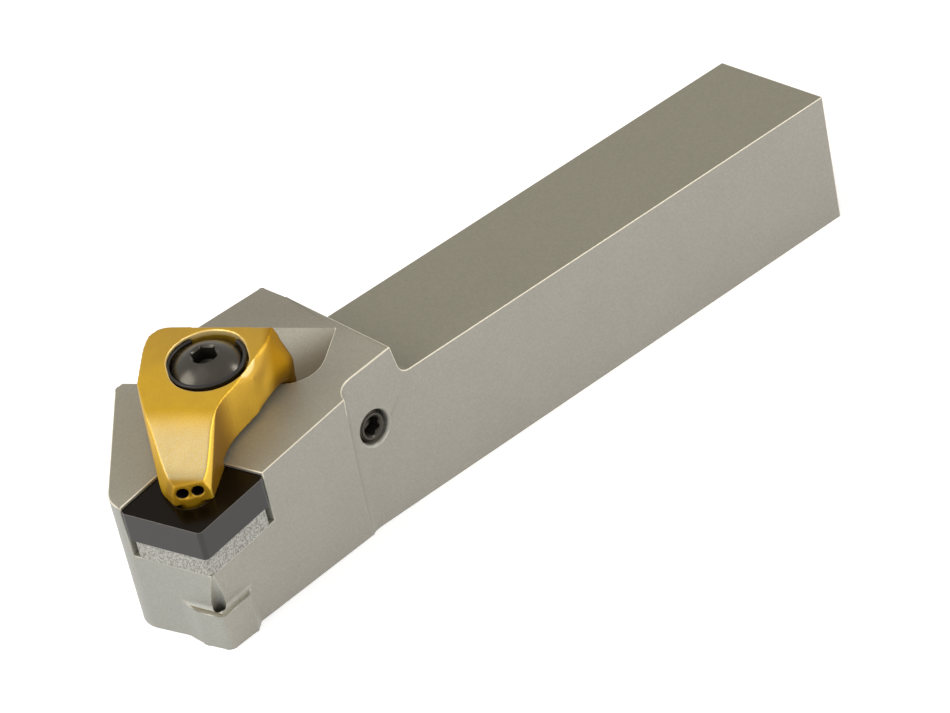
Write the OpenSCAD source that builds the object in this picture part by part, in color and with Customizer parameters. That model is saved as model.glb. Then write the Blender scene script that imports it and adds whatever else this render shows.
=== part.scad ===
// Turning tool holder for a rhombic insert, with a clamp that pulls the insert back and coolant drillings.
// Sizes are in millimetres. X runs along the shank: the rear end is at x = 0 and the cutting nose
// at x = -tool_length. +Z is up, the base face is z = 0, and the cutting side is -Y.

/* [Shank] */
// Width of the shank
shank_width = 20; // [16:0.5:32]
// Height of the shank, which is also the height of the cutting nose
shank_height = 20; // [18:0.5:32]
// Length from the rear end to the cutting nose
tool_length = 125; // [110:1:200]
// Distance from the far side of the shank to the cutting nose
nose_reach = 25; // [24:0.5:40]

/* [Head] */
// Length of the raised head, from the nose to the step
head_length = 40; // [38:0.5:60]
// How far the head stands out past the far side of the shank
head_far_overhang = 6.25; // [4:0.05:9]
// Distance behind the nose where the far side of the head starts to narrow towards the rear
far_bend = 26; // [20:0.5:32]
// How much the far side narrows towards the rear, in degrees
far_taper = 7.3; // [0:0.1:10]
// Distance behind the nose where the slanted front side reaches the far side
front_slant_start = 13.15; // [9:0.05:16]
// Radius between the slanted front side and the flank under the front edge
front_round = 4.5; // [2:0.5:7]
// Height of the head's top face over the cutting face of the insert
head_over_insert = 0.4; // [0.2:0.05:0.8]
// How far the flanks of the head stand back under the insert's edges
flank_inset = 0.35; // [0.2:0.05:0.8]
// Distance behind the nose where the nose-side shoulder ends
shoulder_start = 29; // [26:0.5:32]
// Radius of the cutter that leaves the shoulder
shoulder_radius = 3.5; // [2:0.5:5]
// How far the foot of the step reaches back over the shank
step_lean = 1.15; // [0:0.05:2]
// Height over the shank where the step has leaned forwards to the head's length
step_lean_height = 5.6; // [4:0.1:8]
// How far the rear of the head stands ahead of the step, past the far side of the shank
rear_slack = 0.25; // [0:0.05:1]
// How far the rear of the head is turned forwards, past the far side of the shank, in degrees
rear_turn = 5; // [0:0.5:10]
// Radius in the foot of the step
step_radius = 1.8; // [0.5:0.1:3]
// Radius between the far side of the shank and the rear of the head
far_fillet = 3; // [1:0.5:4]

/* [Insert seat] */
// Rise of the seat from the nose towards the rear end, in degrees
rise_back = 5.7; // [4:0.1:7]
// Rise of the seat from the nose towards the far side, in degrees
rise_side = 4.9; // [4:0.1:7]
// Angle between the side cutting edge and the shank, in degrees
edge_turn = 4.2; // [2:0.1:7]
// Radius of the relief in the inner corner of the pocket
corner_relief = 1.1; // [0.8:0.1:1.6]

/* [Insert] */
// Diameter of the circle that fits inside the insert
insert_circle = 12.7; // [12:0.1:13.5]
// Acute corner angle of the insert, in degrees
insert_angle = 80; // [78:1:84]
// Thickness of the insert
insert_thickness = 4.76; // [4:0.02:5.2]
// Nose radius of the insert
insert_nose_radius = 0.8; // [0.4:0.1:1.6]
// Diameter of the hole in the insert
insert_hole = 5.16; // [4.8:0.02:5.4]

/* [Shim] */
// Thickness of the shim under the insert
shim_thickness = 3.18; // [2.8:0.02:4]
// How far the shim stands back from the insert's edges
shim_inset = 0.3; // [0.1:0.05:0.6]
// Nose radius of the shim
shim_nose_radius = 1.2; // [0.8:0.1:1.8]
// Thread diameter of the shim screw
shim_screw_thread = 5; // [4:0.5:5]
// Length of the shim screw under its head
shim_screw_length = 9.5; // [7:0.5:11]
// Head diameter of the shim screw
shim_screw_head = 7.4; // [6.6:0.1:8]
// Height of the countersunk head of the shim screw
shim_screw_head_height = 2.5; // [2:0.1:2.8]
// Width across flats of the socket in the shim screw
shim_screw_socket = 3; // [2:0.5:3.5]

/* [Clamp] */
// Angle of the clamp against the shank, in degrees
clamp_turn = 32.1; // [28:0.1:36]
// Place of the clamp screw behind the nose, along the seat
screw_back = 19.6; // [18:0.1:21]
// Place of the clamp screw beside the nose, across the seat
screw_side = 17.3; // [16:0.1:18]
// Height of the clamp's top over the cutting face
clamp_top = 8.3; // [7.8:0.1:9.5]
// Height of the clamp's underside over the cutting face
clamp_under = 1.0; // [0.8:0.05:1.2]
// Height of the clamp's nose
tip_height = 3.4; // [3:0.1:4]
// Distance from the screw to the front of the clamp's nose
tip_reach = 20.6; // [19.5:0.1:21]
// Distance from the screw to the rear face of the clamp
heel_reach = 6; // [5.5:0.1:7]
// Round of the clamp's rear far corner
heel_round = 2.7; // [1:0.1:4]
// Distance from the screw to the front of the foot, where it stands out over the slot
foot_plate_front = 3.8; // [3:0.1:4.5]
// Half width of the clamp on the nose side
clamp_half_near = 7.95; // [7.2:0.05:8.4]
// Half width of the clamp on the far side
clamp_half_far = 9.1; // [9:0.1:10]
// Diameter of the pin that pulls the insert back
pin_diameter = 4.2; // [3.6:0.1:4.6]
// Depth of the pin in the insert
pin_depth = 2.4; // [1.5:0.1:3.2]
// Half width of the foot that stands in the slot
foot_half_width = 10.1; // [9.5:0.1:11]
// Height of the widest line of the foot over the cutting face
foot_widest_height = 3.3; // [2.5:0.1:4.5]
// Draft of the foot over and under its widest line
foot_draft = 0.9; // [0.4:0.1:1.4]
// Depth of the foot under the head's top face
foot_depth = 2.6; // [2:0.1:3]

/* [Slot] */
// Width of the slot in the head's top face
slot_width = 11.5; // [10:0.1:13]
// Tilt of the slot's floor, in degrees
slot_tilt = 20; // [15:1:25]
// Distance from the screw to the front edge of the slot
slot_front = 3.55; // [3.3:0.05:3.8]
// Gap between the foot of the clamp and the slot
slot_gap = 0.1; // [0.05:0.05:0.2]
// Distance from the screw to the closed end of the slot
slot_end = 12.9; // [12:0.1:14]
// Corner radius in the closed end of the slot
slot_corner = 4.7; // [3:0.1:5.5]

/* [Clamp screw] */
// Thread diameter of the clamp screw
screw_thread = 6; // [5:0.5:6]
// Length of the clamp screw under its head
screw_length = 22; // [18:0.5:23]
// Head diameter of the clamp screw
screw_head = 9.7; // [9:0.1:9.8]
// Height of the rim of the screw's head
screw_rim = 2.5; // [2:0.1:3]
// Height of the dome over the rim
screw_dome = 1.9; // [1.2:0.1:2.2]
// Width across flats of the socket in the clamp screw
screw_socket = 3.2; // [2.5:0.1:4]
// Depth of the socket in the clamp screw
screw_socket_depth = 2.6; // [2:0.1:3]
// Clearance between a turning thread and its hole
thread_clearance = 0.05; // [0.02:0.01:0.08]
// Width of the long counterbore for the screw's head
counterbore_width = 10.9; // [10.5:0.05:11.2]
// Length of the long counterbore
counterbore_length = 12.6; // [12.2:0.1:13]
// Height of the counterbore's floor over the cutting face
counterbore_floor = 4.6; // [4.4:0.1:5]
// Bevel round the mouth of the counterbore
counterbore_bevel = 0.15; // [0.1:0.05:0.4]
// Diameter of the wire of the snap ring round the head
snap_ring_wire = 0.7; // [0.5:0.05:0.8]
// Half of the gap in the snap ring, in degrees
snap_ring_gap = 38; // [25:1:60]

/* [Spring] */
// Wire diameter of the lifting spring
spring_wire = 0.6; // [0.4:0.05:0.65]
// Outer diameter of the lifting spring
spring_diameter = 7.5; // [7.4:0.1:7.8]
// Turns of the lifting spring
spring_turns = 5; // [3:1:6]
// Diameter of the pocket for the spring
spring_pocket = 8.1; // [8:0.1:8.6]
// Depth of the pocket for the spring under the cutting face
spring_pocket_depth = 4.5; // [3.5:0.1:5.5]

/* [Coolant] */
// Wall diameter of the threaded coolant inlet
inlet_bore = 8.8; // [8.5:0.1:9]
// Depth of the threaded coolant inlet
inlet_depth = 11; // [9:0.5:14]
// Bevel in the mouth of the inlet
inlet_bevel = 0.6; // [0.2:0.1:1]
// Diameter of the long main drilling
main_drilling = 3.5; // [3:0.1:4]
// Diameter of the drilling that feeds the clamp
feed_drilling = 2.5; // [2:0.1:2.7]
// Diameter of the fine drilling to the flank jet
fine_drilling = 1.6; // [1:0.1:1.8]
// Diameter of the two jets in the clamp's nose
jet_diameter = 1.6; // [1.2:0.05:1.7]
// Distance between the two jets
jet_spacing = 2.05; // [1.95:0.05:2.3]
// Height of the jets over the cutting face
jet_height = 1.85; // [1.6:0.05:2.1]
// Diameter of the flank jet under the nose
flank_jet = 1.8; // [1.4:0.1:2.2]
// Lean of the flank jet from upright, in degrees
flank_jet_lean = 22; // [16:1:26]
// Height of the ledge under the nose
ledge_height = 5.9; // [5:0.1:7]
// How far the lower body stands out under the ledge
ledge_width = 1.1; // [0.9:0.05:1.4]
// Radius between the ledge and the flanks over it
ledge_radius = 0.8; // [0.3:0.1:0.9]
// Diameter of the ring that seals the clamp's inlet
seal_diameter = 4.8; // [4.2:0.1:5]
// Thickness of the ring that seals the clamp's inlet
seal_wire = 1.0; // [0.8:0.05:1.1]

/* [Plugs] */
// Thread diameter of the set screw in the side
side_plug_thread = 5; // [4:0.5:6]
// Length of the set screw in the side
side_plug_length = 5; // [4:0.5:6]
// Width across flats of the socket in the set screw
side_plug_socket = 2.5; // [2:0.5:3]
// Distance from the nose to the set screw
side_plug_back = 35; // [33:0.5:38]
// Height of the set screw
side_plug_height = 14.8; // [12:0.1:16]
// Length of the plug in the port under the head
port_plug_length = 5.5; // [4:0.5:6]
// Width across flats of the socket in the port plug
port_plug_socket = 5; // [4:0.5:6]
// Distance from the shank's middle line to the port, on the nose side
port_aside = 4.5; // [3.5:0.1:5]
// Clearance of the plugs in their holes
plug_clearance = 0.04; // [0.02:0.01:0.08]

/* [Hidden] */

steel = [0.64, 0.62, 0.57];
gold = [0.78, 0.62, 0.22];
black_steel = [0.20, 0.19, 0.18];
carbide = [0.16, 0.14, 0.13];
sintered = [0.66, 0.67, 0.64];
spring_steel = [0.45, 0.45, 0.46];
rubber = [0.08, 0.08, 0.08];

// Facets of a round face, and steps in a rounded corner
round_fn = 64;
corner_steps = 6;
// Length by which a cutter runs past the face that it opens
past = 40;
tiny = 0.01;

nose_x = -tool_length;
nose_y = shank_width / 2 - nose_reach;
near_side = -shank_width / 2;
far_side = shank_width / 2;
head_far_side = far_side + head_far_overhang;

insert_edge = insert_circle / sin(insert_angle);
blunt_angle = 180 - insert_angle;
// Edge directions, in the plane of the seat
side_edge = [cos(edge_turn), sin(edge_turn)];
end_edge = [cos(edge_turn + blunt_angle), sin(edge_turn + blunt_angle)];
insert_middle = (side_edge + end_edge) * insert_edge / 2;
insert_back = (side_edge + end_edge) * insert_edge;
pocket_floor = -insert_thickness - shim_thickness;
// Corner of the two flanks, under the nose of the insert
flank_start = (side_edge + end_edge) * flank_inset / sin(insert_angle);

screw_place = [screw_back, screw_side];
// Middle of the long counterbore, and the way it runs, in the clamp's frame
counterbore_place = [-0.79, -0.56];
counterbore_turn = 25;
screw_seat = counterbore_floor;
rim_top = screw_seat + screw_rim;
foot_bottom = head_over_insert - foot_depth;

// Vector helpers
function unit(v) = v / norm(v);
function turned(v, a) = [v.x * cos(a) - v.y * sin(a), v.x * sin(a) + v.y * cos(a)];

// Points of the arc of radius r that rounds the corner b between a and c
function corner_arc(a, b, c, r, steps) =
    let (u = unit(a - b), v = unit(c - b), half = acos(u * v) / 2,
         centre = b + unit(u + v) * r / sin(half),
         from = b + u * r / tan(half) - centre, to = b + v * r / tan(half) - centre,
         start = atan2(from.y, from.x),
         sweep = (atan2(to.y, to.x) - start + 540) % 360 - 180)
    [for (i = [0 : steps]) centre + r * [cos(start + sweep * i / steps), sin(start + sweep * i / steps)]];

// The outline with each corner rounded by its own radius
function rounded(points, radii, steps = corner_steps) =
    let (n = len(points))
    [for (i = [0 : n - 1])
        each radii[i] > 0
            ? corner_arc(points[(i + n - 1) % n], points[i], points[(i + 1) % n], radii[i], steps)
            : [points[i]]];

// A smooth step from 0 to 1
function eased(t) = t * t * (3 - 2 * t);

// The frame of the seat: its origin is the cutting nose and its XY plane the cutting face
module seat_frame() {
    translate([nose_x, nose_y, shank_height]) rotate([rise_side, -rise_back, 0]) children();
}

// The frame of the clamp: its origin lies on the screw's axis, in the plane of the cutting face
module clamp_frame() {
    seat_frame() translate([screw_place.x, screw_place.y, 0]) rotate([0, 0, clamp_turn]) children();
}

// A point of the clamp frame, in the plane of the seat
function on_seat(p) = screw_place + turned(p, clamp_turn);
// A point of the seat, in the clamp frame
function on_clamp(p) = turned(p - screw_place, -clamp_turn);
// Where a point of the seat frame lies in the part's own frame
function in_part(p) =
    let (q = [p.x, p.y * cos(rise_side) - p.z * sin(rise_side), p.y * sin(rise_side) + p.z * cos(rise_side)])
    [nose_x + q.x * cos(rise_back) - q.z * sin(rise_back),
     nose_y + q.y,
     shank_height + q.x * sin(rise_back) + q.z * cos(rise_back)];

// A straight drilling between two points
module drilling(from, to, diameter) {
    way = to - from;
    translate(from)
        rotate([0, acos(way.z / norm(way)), atan2(way.y, way.x)])
            cylinder(h = norm(way), d = diameter, $fn = round_fn);
}

// A hexagon socket, cut downwards from its mouth
module hex_socket(across_flats, depth) {
    translate([0, 0, -depth])
        cylinder(h = depth + tiny, d = across_flats / cos(30), $fn = 6);
}

// Insert outline, moved in from its edges and rounded at its corners
module insert_outline(inset, nose_radius) {
    edge = insert_edge - 2 * inset / sin(insert_angle);
    start = (side_edge + end_edge) * inset / sin(insert_angle);
    polygon(rounded([start, start + side_edge * edge, start + (side_edge + end_edge) * edge,
                     start + end_edge * edge], [for (i = [0 : 3]) nose_radius]));
}

// Holder body

// Upright outline of the head: far side, slanted front side and rear
module head_outline() {
    reach = nose_reach;
    rear = nose_x + head_length - rear_slack;
    bend = nose_x + far_bend;
    // The rear far corner, where the turned rear meets the narrowing far side
    corner = (rear - head_far_overhang * tan(rear_turn) - bend) / (1 - tan(rear_turn) * tan(far_taper));
    polygon(rounded([
        [nose_x - reach, nose_y - reach],
        [rear, nose_y - reach],
        [rear, far_side],
        [bend + corner, head_far_side - corner * tan(far_taper)],
        [bend, head_far_side],
        [nose_x + front_slant_start, head_far_side],
        [nose_x - reach, head_far_side - front_slant_start - reach]],
        [0, 0, 0, 0.8, 30, 2, 0]));
}

// Outline of the two flanks under the cutting edges, in the plane of the seat, with the round
// that leads into the slanted front side
module flank_outline() {
    slant = [0, head_far_side - nose_y - front_slant_start - 0.3];
    // Where the flank under the front edge meets a 45 degree line just outside the slanted side
    along = (slant.y - flank_start.y + flank_start.x) / (end_edge.y - end_edge.x);
    corner = flank_start + end_edge * along;
    far = 2 * head_length;
    polygon(rounded([flank_start, flank_start + side_edge * far, [far, far], corner + [far, far], corner],
                    [0, 0, 0, 0, front_round]));
}

// Flanks of the head, square to the seat and rounded into the slanted front side
module head_flanks() {
    seat_frame() translate([0, 0, -2 * shank_height])
        linear_extrude(2 * shank_height + head_over_insert) flank_outline();
}

// Outline of the lower body that stands out round the nose: full along both flanks near the nose,
// then flush again
module lower_nose_outline() {
    front_length = 4.2;
    front_blend = 3.6;
    side_length = 5.2;
    side_blend = 1.2;
    corner = (side_edge + end_edge) * (flank_inset - ledge_width) / sin(insert_angle);
    foot = flank_start + (side_edge + end_edge) * 0.5;
    polygon(rounded([
        corner,
        corner + side_edge * side_length,
        foot + side_edge * (side_length + side_blend),
        foot + end_edge * (front_length + front_blend),
        corner + end_edge * front_length],
        [1.3, 0.9, 0, 0, 4]));
}

// Hollow round between the ledge and one flank, cut off on the line that halves the nose corner
module ledge_round(heading, inwards) {
    r = ledge_radius;
    reach = 12;
    middle = unit(side_edge + end_edge) * reach;
    difference() {
        translate([flank_start.x, flank_start.y, 0]) rotate([0, 0, heading])
            translate([-2 * ledge_width, 0, 0]) rotate([90, 0, 90])
                linear_extrude(reach)
                    polygon([[0.3 * inwards, -0.3], [0.3 * inwards, r],
                             for (i = [0 : corner_steps])
                                 inwards * [-r + r * cos(90 * i / corner_steps), 0]
                                 + [0, r - r * sin(90 * i / corner_steps)],
                             [-r * inwards, -0.3]]);
        translate([flank_start.x, flank_start.y, -1])
            linear_extrude(2 * reach)
                polygon([-middle, middle, middle - turned(middle, 90 * inwards) * -1,
                         -middle + turned(middle, 90 * inwards)]);
    }
}

// Lower body round the nose, with its ledge square to the flanks
module lower_nose() {
    ledge = (ledge_height - shank_height) / (cos(rise_back) * cos(rise_side));
    seat_frame() intersection() {
        translate([0, 0, -2 * shank_height])
            linear_extrude(2 * shank_height) lower_nose_outline();
        union() {
            translate([-past, -past, ledge - 2 * shank_height])
                cube([2 * past, 2 * past, 2 * shank_height]);
            translate([0, 0, ledge]) {
                ledge_round(edge_turn, 1);
                ledge_round(edge_turn + blunt_angle, -1);
            }
        }
    }
}

// Step at the rear of the head, over the shank
module head_step() {
    rise = shank_height;
    translate([nose_x + head_length, far_side, shank_height]) rotate([90, 0, 0])
        linear_extrude(shank_width)
            polygon(rounded([[-2, rise], [-2, -2], [6, -2], [6, 0], [step_lean, 0],
                             [step_lean * (1 - rise / step_lean_height), rise]],
                            [0, 0, 0, 0, step_radius, 0]));
}

// Space outside the nose-side shoulder
module shoulder_space() {
    r = shoulder_radius;
    x = nose_x + shoulder_start;
    translate([0, 0, -1])
        linear_extrude(2 * shank_height)
            polygon(rounded([[x, near_side - 2 * r], [x, near_side], [1, near_side], [1, near_side - 2 * r]],
                            [0, r, 0, 0]));
}

// Solid head before the pocket, the slot and the drillings
module head_solid() {
    difference() {
        intersection() {
            union() {
                intersection() {
                    linear_extrude(2 * shank_height) head_outline();
                    head_flanks();
                }
                lower_nose();
                head_step();
            }
            seat_frame() translate([-past, -past, head_over_insert - 3 * shank_height])
                cube([3 * past, 3 * past, 3 * shank_height]);
            translate([nose_x - past, -past, 0]) cube([3 * past, 2 * past, 2 * shank_height]);
        }
        shoulder_space();
    }
}

// Shank with the rounded corner where it leaves the head on the far side
module shank_solid() {
    translate([nose_x + head_length - 5, near_side, 0])
        cube([tool_length - head_length + 5, shank_width, shank_height]);
    r = far_fillet;
    linear_extrude(shank_height)
        polygon(rounded([
            [nose_x + head_length - 1, far_side - 1], [nose_x + head_length + r, far_side - 1],
            [nose_x + head_length + r, far_side], [nose_x + head_length, far_side],
            [nose_x + head_length, far_side + r], [nose_x + head_length - 1, far_side + r]],
            [0, 0, 0, r - tiny, 0, 0]));
}

// Pocket for the insert and its shim
module insert_pocket() {
    seat_frame() {
        translate([0, 0, pocket_floor]) {
            linear_extrude(past)
                polygon([insert_back, insert_back - side_edge * past, -(side_edge + end_edge) * past,
                         insert_back - end_edge * past]);
            translate([insert_back.x, insert_back.y, 0])
                cylinder(h = past, r = corner_relief, $fn = round_fn);
        }
    }
}

// Tilted slot for the foot of the clamp, in the clamp's frame: a floor that falls towards the nose,
// a front wall that leans with it, and a closed end with a round corner
module slot_space(gap) {
    depth = slot_width * sin(slot_tilt);
    end = gap - slot_end;
    translate([slot_front, 0, head_over_insert]) rotate([0, -slot_tilt, 0]) translate([0, 0, -depth])
        linear_extrude(past)
            polygon(rounded([[gap, past], [gap, end], [past, end], [past, past]],
                            [0, slot_corner - gap, 0, 0]));
}

// Tapped holes and the spring pocket
module screw_holes() {
    clamp_frame() {
        translate([0, 0, screw_seat - screw_length - 1.5])
            cylinder(h = past, d = screw_thread + 2 * thread_clearance, $fn = round_fn);
        translate([0, 0, -spring_pocket_depth])
            cylinder(h = past, d = spring_pocket, $fn = round_fn);
    }
    seat_frame() translate([insert_middle.x, insert_middle.y, 0])
        translate([0, 0, -insert_thickness - shim_screw_head_height - shim_screw_length - 1])
            cylinder(h = shim_screw_length + 3, d = shim_screw_thread + 2 * plug_clearance, $fn = round_fn);
}

// Coolant places, in the part's own frame
inlet_middle = [0, 0, shank_height / 2];
main_start = inlet_middle - [inlet_depth - 2, 0, 0];
// The main drilling ends beside the pocket, and a fine one goes on past the shim screw to the nose
main_end = [nose_x + 16, nose_y + 7.5, 6];
clamp_inlet = [-6.9, 0.3];
feed_mouth = in_part([on_seat(clamp_inlet).x, on_seat(clamp_inlet).y, head_over_insert]);
port_place = [nose_x + side_plug_back, -port_aside];
jet_heading = [cos(edge_turn + blunt_angle / 2), sin(edge_turn + blunt_angle / 2)];
// Way up and outwards of the flank jet, and the point where it leaves the ledge
flank_jet_way = [-sin(flank_jet_lean) * jet_heading.x, -sin(flank_jet_lean) * jet_heading.y,
                 cos(flank_jet_lean)];
flank_jet_foot = [nose_x + 1.72 + 0.55 * jet_heading.x, nose_y + 1.95 + 0.55 * jet_heading.y, ledge_height];

// Every drilling that carries coolant
module coolant_drillings() {
    drilling(inlet_middle + [1, 0, 0], inlet_middle - [inlet_depth, 0, 0], inlet_bore);
    translate(inlet_middle) rotate([0, 90, 0]) translate([0, 0, -inlet_bevel])
        cylinder(h = 2 * inlet_bevel, r1 = inlet_bore / 2, r2 = inlet_bore / 2 + 2 * inlet_bevel, $fn = round_fn);
    drilling(main_start, main_end, main_drilling);
    drilling(main_end, feed_mouth + unit(feed_mouth - main_end), feed_drilling);
    drilling(main_end, flank_jet_foot - flank_jet_way * 2.4, fine_drilling);
    drilling(flank_jet_foot - flank_jet_way * 3, flank_jet_foot + flank_jet_way * 12, flank_jet);
    translate([port_place.x, port_place.y, -1])
        cylinder(h = port_plug_length + 2.5, d = inlet_bore, $fn = round_fn);
    translate([port_place.x, port_place.y, 0])
        cylinder(h = side_plug_height + 1.5, d = 4, $fn = round_fn);
    translate([port_place.x, near_side, side_plug_height]) rotate([-90, 0, 0]) {
        translate([0, 0, -1])
            cylinder(h = side_plug_length + 2, d = side_plug_thread, $fn = round_fn);
        cylinder(h = -near_side - port_aside, d = side_plug_thread - 2, $fn = round_fn);
        translate([0, 0, -0.3])
            cylinder(h = 0.6, d1 = side_plug_thread + 1.2, d2 = side_plug_thread, $fn = round_fn);
    }
}

module holder_body() {
    color(steel)
        difference() {
            union() {
                shank_solid();
                head_solid();
            }
            insert_pocket();
            clamp_frame() slot_space(0);
            screw_holes();
            coolant_drillings();
        }
}

// Insert, shim and the shim's screw

module insert() {
    color(carbide)
        seat_frame() difference() {
            translate([0, 0, -insert_thickness])
                linear_extrude(insert_thickness) insert_outline(0, insert_nose_radius);
            translate([insert_middle.x, insert_middle.y, -insert_thickness - 1])
                cylinder(h = insert_thickness + 2, d = insert_hole, $fn = round_fn);
            translate([insert_middle.x, insert_middle.y, -0.4])
                cylinder(h = 0.8, d1 = insert_hole, d2 = insert_hole + 1.3, $fn = round_fn);
        }
}

module shim() {
    top = -insert_thickness;
    color(sintered)
        seat_frame() difference() {
            translate([0, 0, pocket_floor])
                linear_extrude(shim_thickness) insert_outline(shim_inset, shim_nose_radius);
            translate([insert_middle.x, insert_middle.y, 0]) {
                translate([0, 0, pocket_floor - 1])
                    cylinder(h = shim_thickness + 2, d = shim_screw_thread + 0.3, $fn = round_fn);
                translate([0, 0, top - shim_screw_head_height])
                    cylinder(h = shim_screw_head_height + tiny, d1 = shim_screw_thread + 0.3,
                             d2 = shim_screw_head + 0.2, $fn = round_fn);
            }
        }
}

module shim_screw() {
    top = -insert_thickness - 0.1;
    color(black_steel)
        seat_frame() translate([insert_middle.x, insert_middle.y, top]) difference() {
            union() {
                translate([0, 0, -shim_screw_head_height])
                    cylinder(h = shim_screw_head_height, d1 = shim_screw_thread, d2 = shim_screw_head,
                             $fn = round_fn);
                translate([0, 0, -shim_screw_head_height - shim_screw_length])
                    cylinder(h = shim_screw_length + tiny, d = shim_screw_thread, $fn = round_fn);
            }
            hex_socket(shim_screw_socket, 2);
        }
}

// Clamp and what it carries

tip_front = [-tip_reach, 0.6];
tip_side = [-tip_reach + 1.6, -4.45];

// Plan outline of the clamp at its underside
module clamp_outline() {
    polygon(rounded([
        tip_side,
        [-9.3, -4.35],
        [-0.3, -clamp_half_near],
        [heel_reach, -clamp_half_near],
        [heel_reach, clamp_half_far],
        [1.4, clamp_half_far],
        [-6.4, clamp_half_far - 1.2],
        [-tip_reach + 2.4, 2.95],
        tip_front],
        [0.4, 12, 12, 0.4, heel_round, 14, 9, 5, 0.3]));
}

// Side profile of the clamp: flat over the screw, falling in a soft curve to the nose
module clamp_profile() {
    fall_start = -10.3;
    fall_end = -tip_reach + 0.8;
    steps = 24;
    polygon([
        [heel_reach + 1, clamp_under], [heel_reach + 1, clamp_top],
        for (i = [0 : steps])
            [fall_start + (fall_end - fall_start) * i / steps,
             clamp_top + (tip_height - clamp_top) * eased(i / steps)],
        [-tip_reach - 2, tip_height], [-tip_reach - 2, clamp_under]]);
}

// All space behind a plane, given by a point and by the way out of the space
module behind(point, outwards) {
    size = 2 * past;
    translate(point)
        rotate([0, acos(outwards.z / norm(outwards)), atan2(outwards.y, outwards.x)])
            translate([-size / 2, -size / 2, -size]) cube(size);
}

// Upper body of the clamp, with the bevels that narrow it towards the nose
module clamp_body() {
    intersection() {
        translate([0, 0, -1]) linear_extrude(clamp_top + 2) clamp_outline();
        rotate([90, 0, 0]) translate([0, 0, -past]) linear_extrude(2 * past) clamp_profile();
        behind([-7.15, 8, 0.7], [-0.411, 0.912, 0.085]);
        behind([-tip_reach + 1.26, 1.97, 0.7], [-11.6, 14.4, 5.55]);
        behind([-tip_reach + 2.1, -4.8, 0.7], [-4.75, -18.4, 5.85]);
    }
}

// Pad under the clamp's nose that stands on the insert
module clamp_pad() {
    linear_extrude(clamp_under + tiny)
        intersection() {
            clamp_outline();
            rotate(-clamp_turn) translate(-screw_place) insert_outline(0.3, insert_nose_radius);
        }
}

// Foot at the rear of the clamp. In the slot its front follows the slot's wall. Over the slot it is a
// plate that runs into the side of the clamp in a hollow round. Its ends are drafted both ways from
// their widest line.
module clamp_foot() {
    far_half = clamp_half_far - 0.1;
    near_half = clamp_half_near;
    intersection() {
        union() {
            intersection() {
                slot_space(slot_gap);
                translate([0, -past, clamp_under + tiny - past]) cube([past, 2 * past, past]);
            }
            translate([0, 0, clamp_under])
                linear_extrude(past)
                    polygon(rounded([
                        [foot_plate_front, -past], [past, -past], [past, past],
                        [foot_plate_front - 1.6, past], [foot_plate_front - 1.6, -near_half],
                        [foot_plate_front, -near_half]],
                        [0, 0, 0, 0, 0, 1.4]));
        }
        rotate([90, 0, 90])
            linear_extrude(heel_reach)
                polygon([[-foot_half_width + foot_draft, foot_bottom],
                         [far_half - foot_draft, foot_bottom],
                         [far_half, foot_widest_height],
                         [far_half - 0.5, clamp_top],
                         [-near_half, clamp_top],
                         [-foot_half_width, foot_widest_height]]);
        translate([0, 0, -past])
            linear_extrude(2 * past)
                polygon(rounded([[0, -past], [heel_reach, -past], [heel_reach, far_half], [0, far_half]],
                                [0, 0, heel_round, 0]));
    }
}

// Long counterbore and screw hole, so the clamp can be drawn back under the screw
module clamp_screw_opening() {
    slack = (counterbore_length - counterbore_width) / 2;
    half = counterbore_width / 2;
    bevel = counterbore_bevel;
    translate([counterbore_place.x, counterbore_place.y, screw_seat]) rotate(counterbore_turn) {
        for (side = [-1, 1])
            translate([side * slack, 0, 0]) cylinder(h = past, r = half, $fn = round_fn);
        translate([-slack, -half, 0]) cube([2 * slack, 2 * half, past]);
    }
    // Bevel round the mouth of the counterbore
    translate([counterbore_place.x, counterbore_place.y, clamp_top]) rotate(counterbore_turn) {
        for (side = [-1, 1])
            translate([side * slack, 0, -bevel])
                cylinder(h = 2 * bevel, r1 = half, r2 = half + 2 * bevel, $fn = round_fn);
        rotate([90, 0, 90]) translate([0, 0, -slack])
            linear_extrude(2 * slack)
                polygon([[-half, -bevel], [half, -bevel], [half + 2 * bevel, bevel], [-half - 2 * bevel, bevel]]);
    }
    // Screw hole, longer than it is wide
    hole = screw_thread + 0.8;
    for (along = [-0.7, 0.1])
        translate([along, 0, clamp_under - 1]) cylinder(h = past, d = hole, $fn = round_fn);
    translate([-0.7, -hole / 2, clamp_under - 1]) cube([0.8, hole, past]);
    // Room for the spring in the foot
    translate([0, 0, clamp_under - past]) cylinder(h = past, d = spring_pocket, $fn = round_fn);
}

// Inlet on the underside and the two jets that it feeds
module clamp_channels() {
    meeting = [clamp_inlet.x, clamp_inlet.y, clamp_under + 2];
    across = unit(tip_front - tip_side);
    middle = (tip_front + tip_side) / 2 + across * 0.15;
    translate([clamp_inlet.x, clamp_inlet.y, clamp_under - 1])
        cylinder(h = 4.1, d = feed_drilling, $fn = round_fn);
    translate([clamp_inlet.x, clamp_inlet.y, clamp_under - 1])
        cylinder(h = 1 + seal_wire - (clamp_under - head_over_insert) + 0.05, d = seal_diameter + 0.1,
                 $fn = round_fn);
    for (side = [-1, 1]) {
        mouth = middle + across * side * jet_spacing / 2;
        point = [mouth.x, mouth.y, jet_height];
        from = meeting + [-0.1, side * 0.25, 0];
        drilling(point + (point - from) * 0.2, from, jet_diameter);
    }
}

// Radius of the middle of the snap ring's wire
snap_ring_radius = screw_head / 2 + 0.1 + snap_ring_wire / 2;

module snap_ring_shape(wire) {
    translate([0, 0, rim_top + 0.2]) rotate([0, 0, snap_ring_gap])
        rotate_extrude(angle = 360 - 2 * snap_ring_gap, $fn = round_fn)
            translate([snap_ring_radius, 0]) circle(d = wire, $fn = 24);
}

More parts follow.
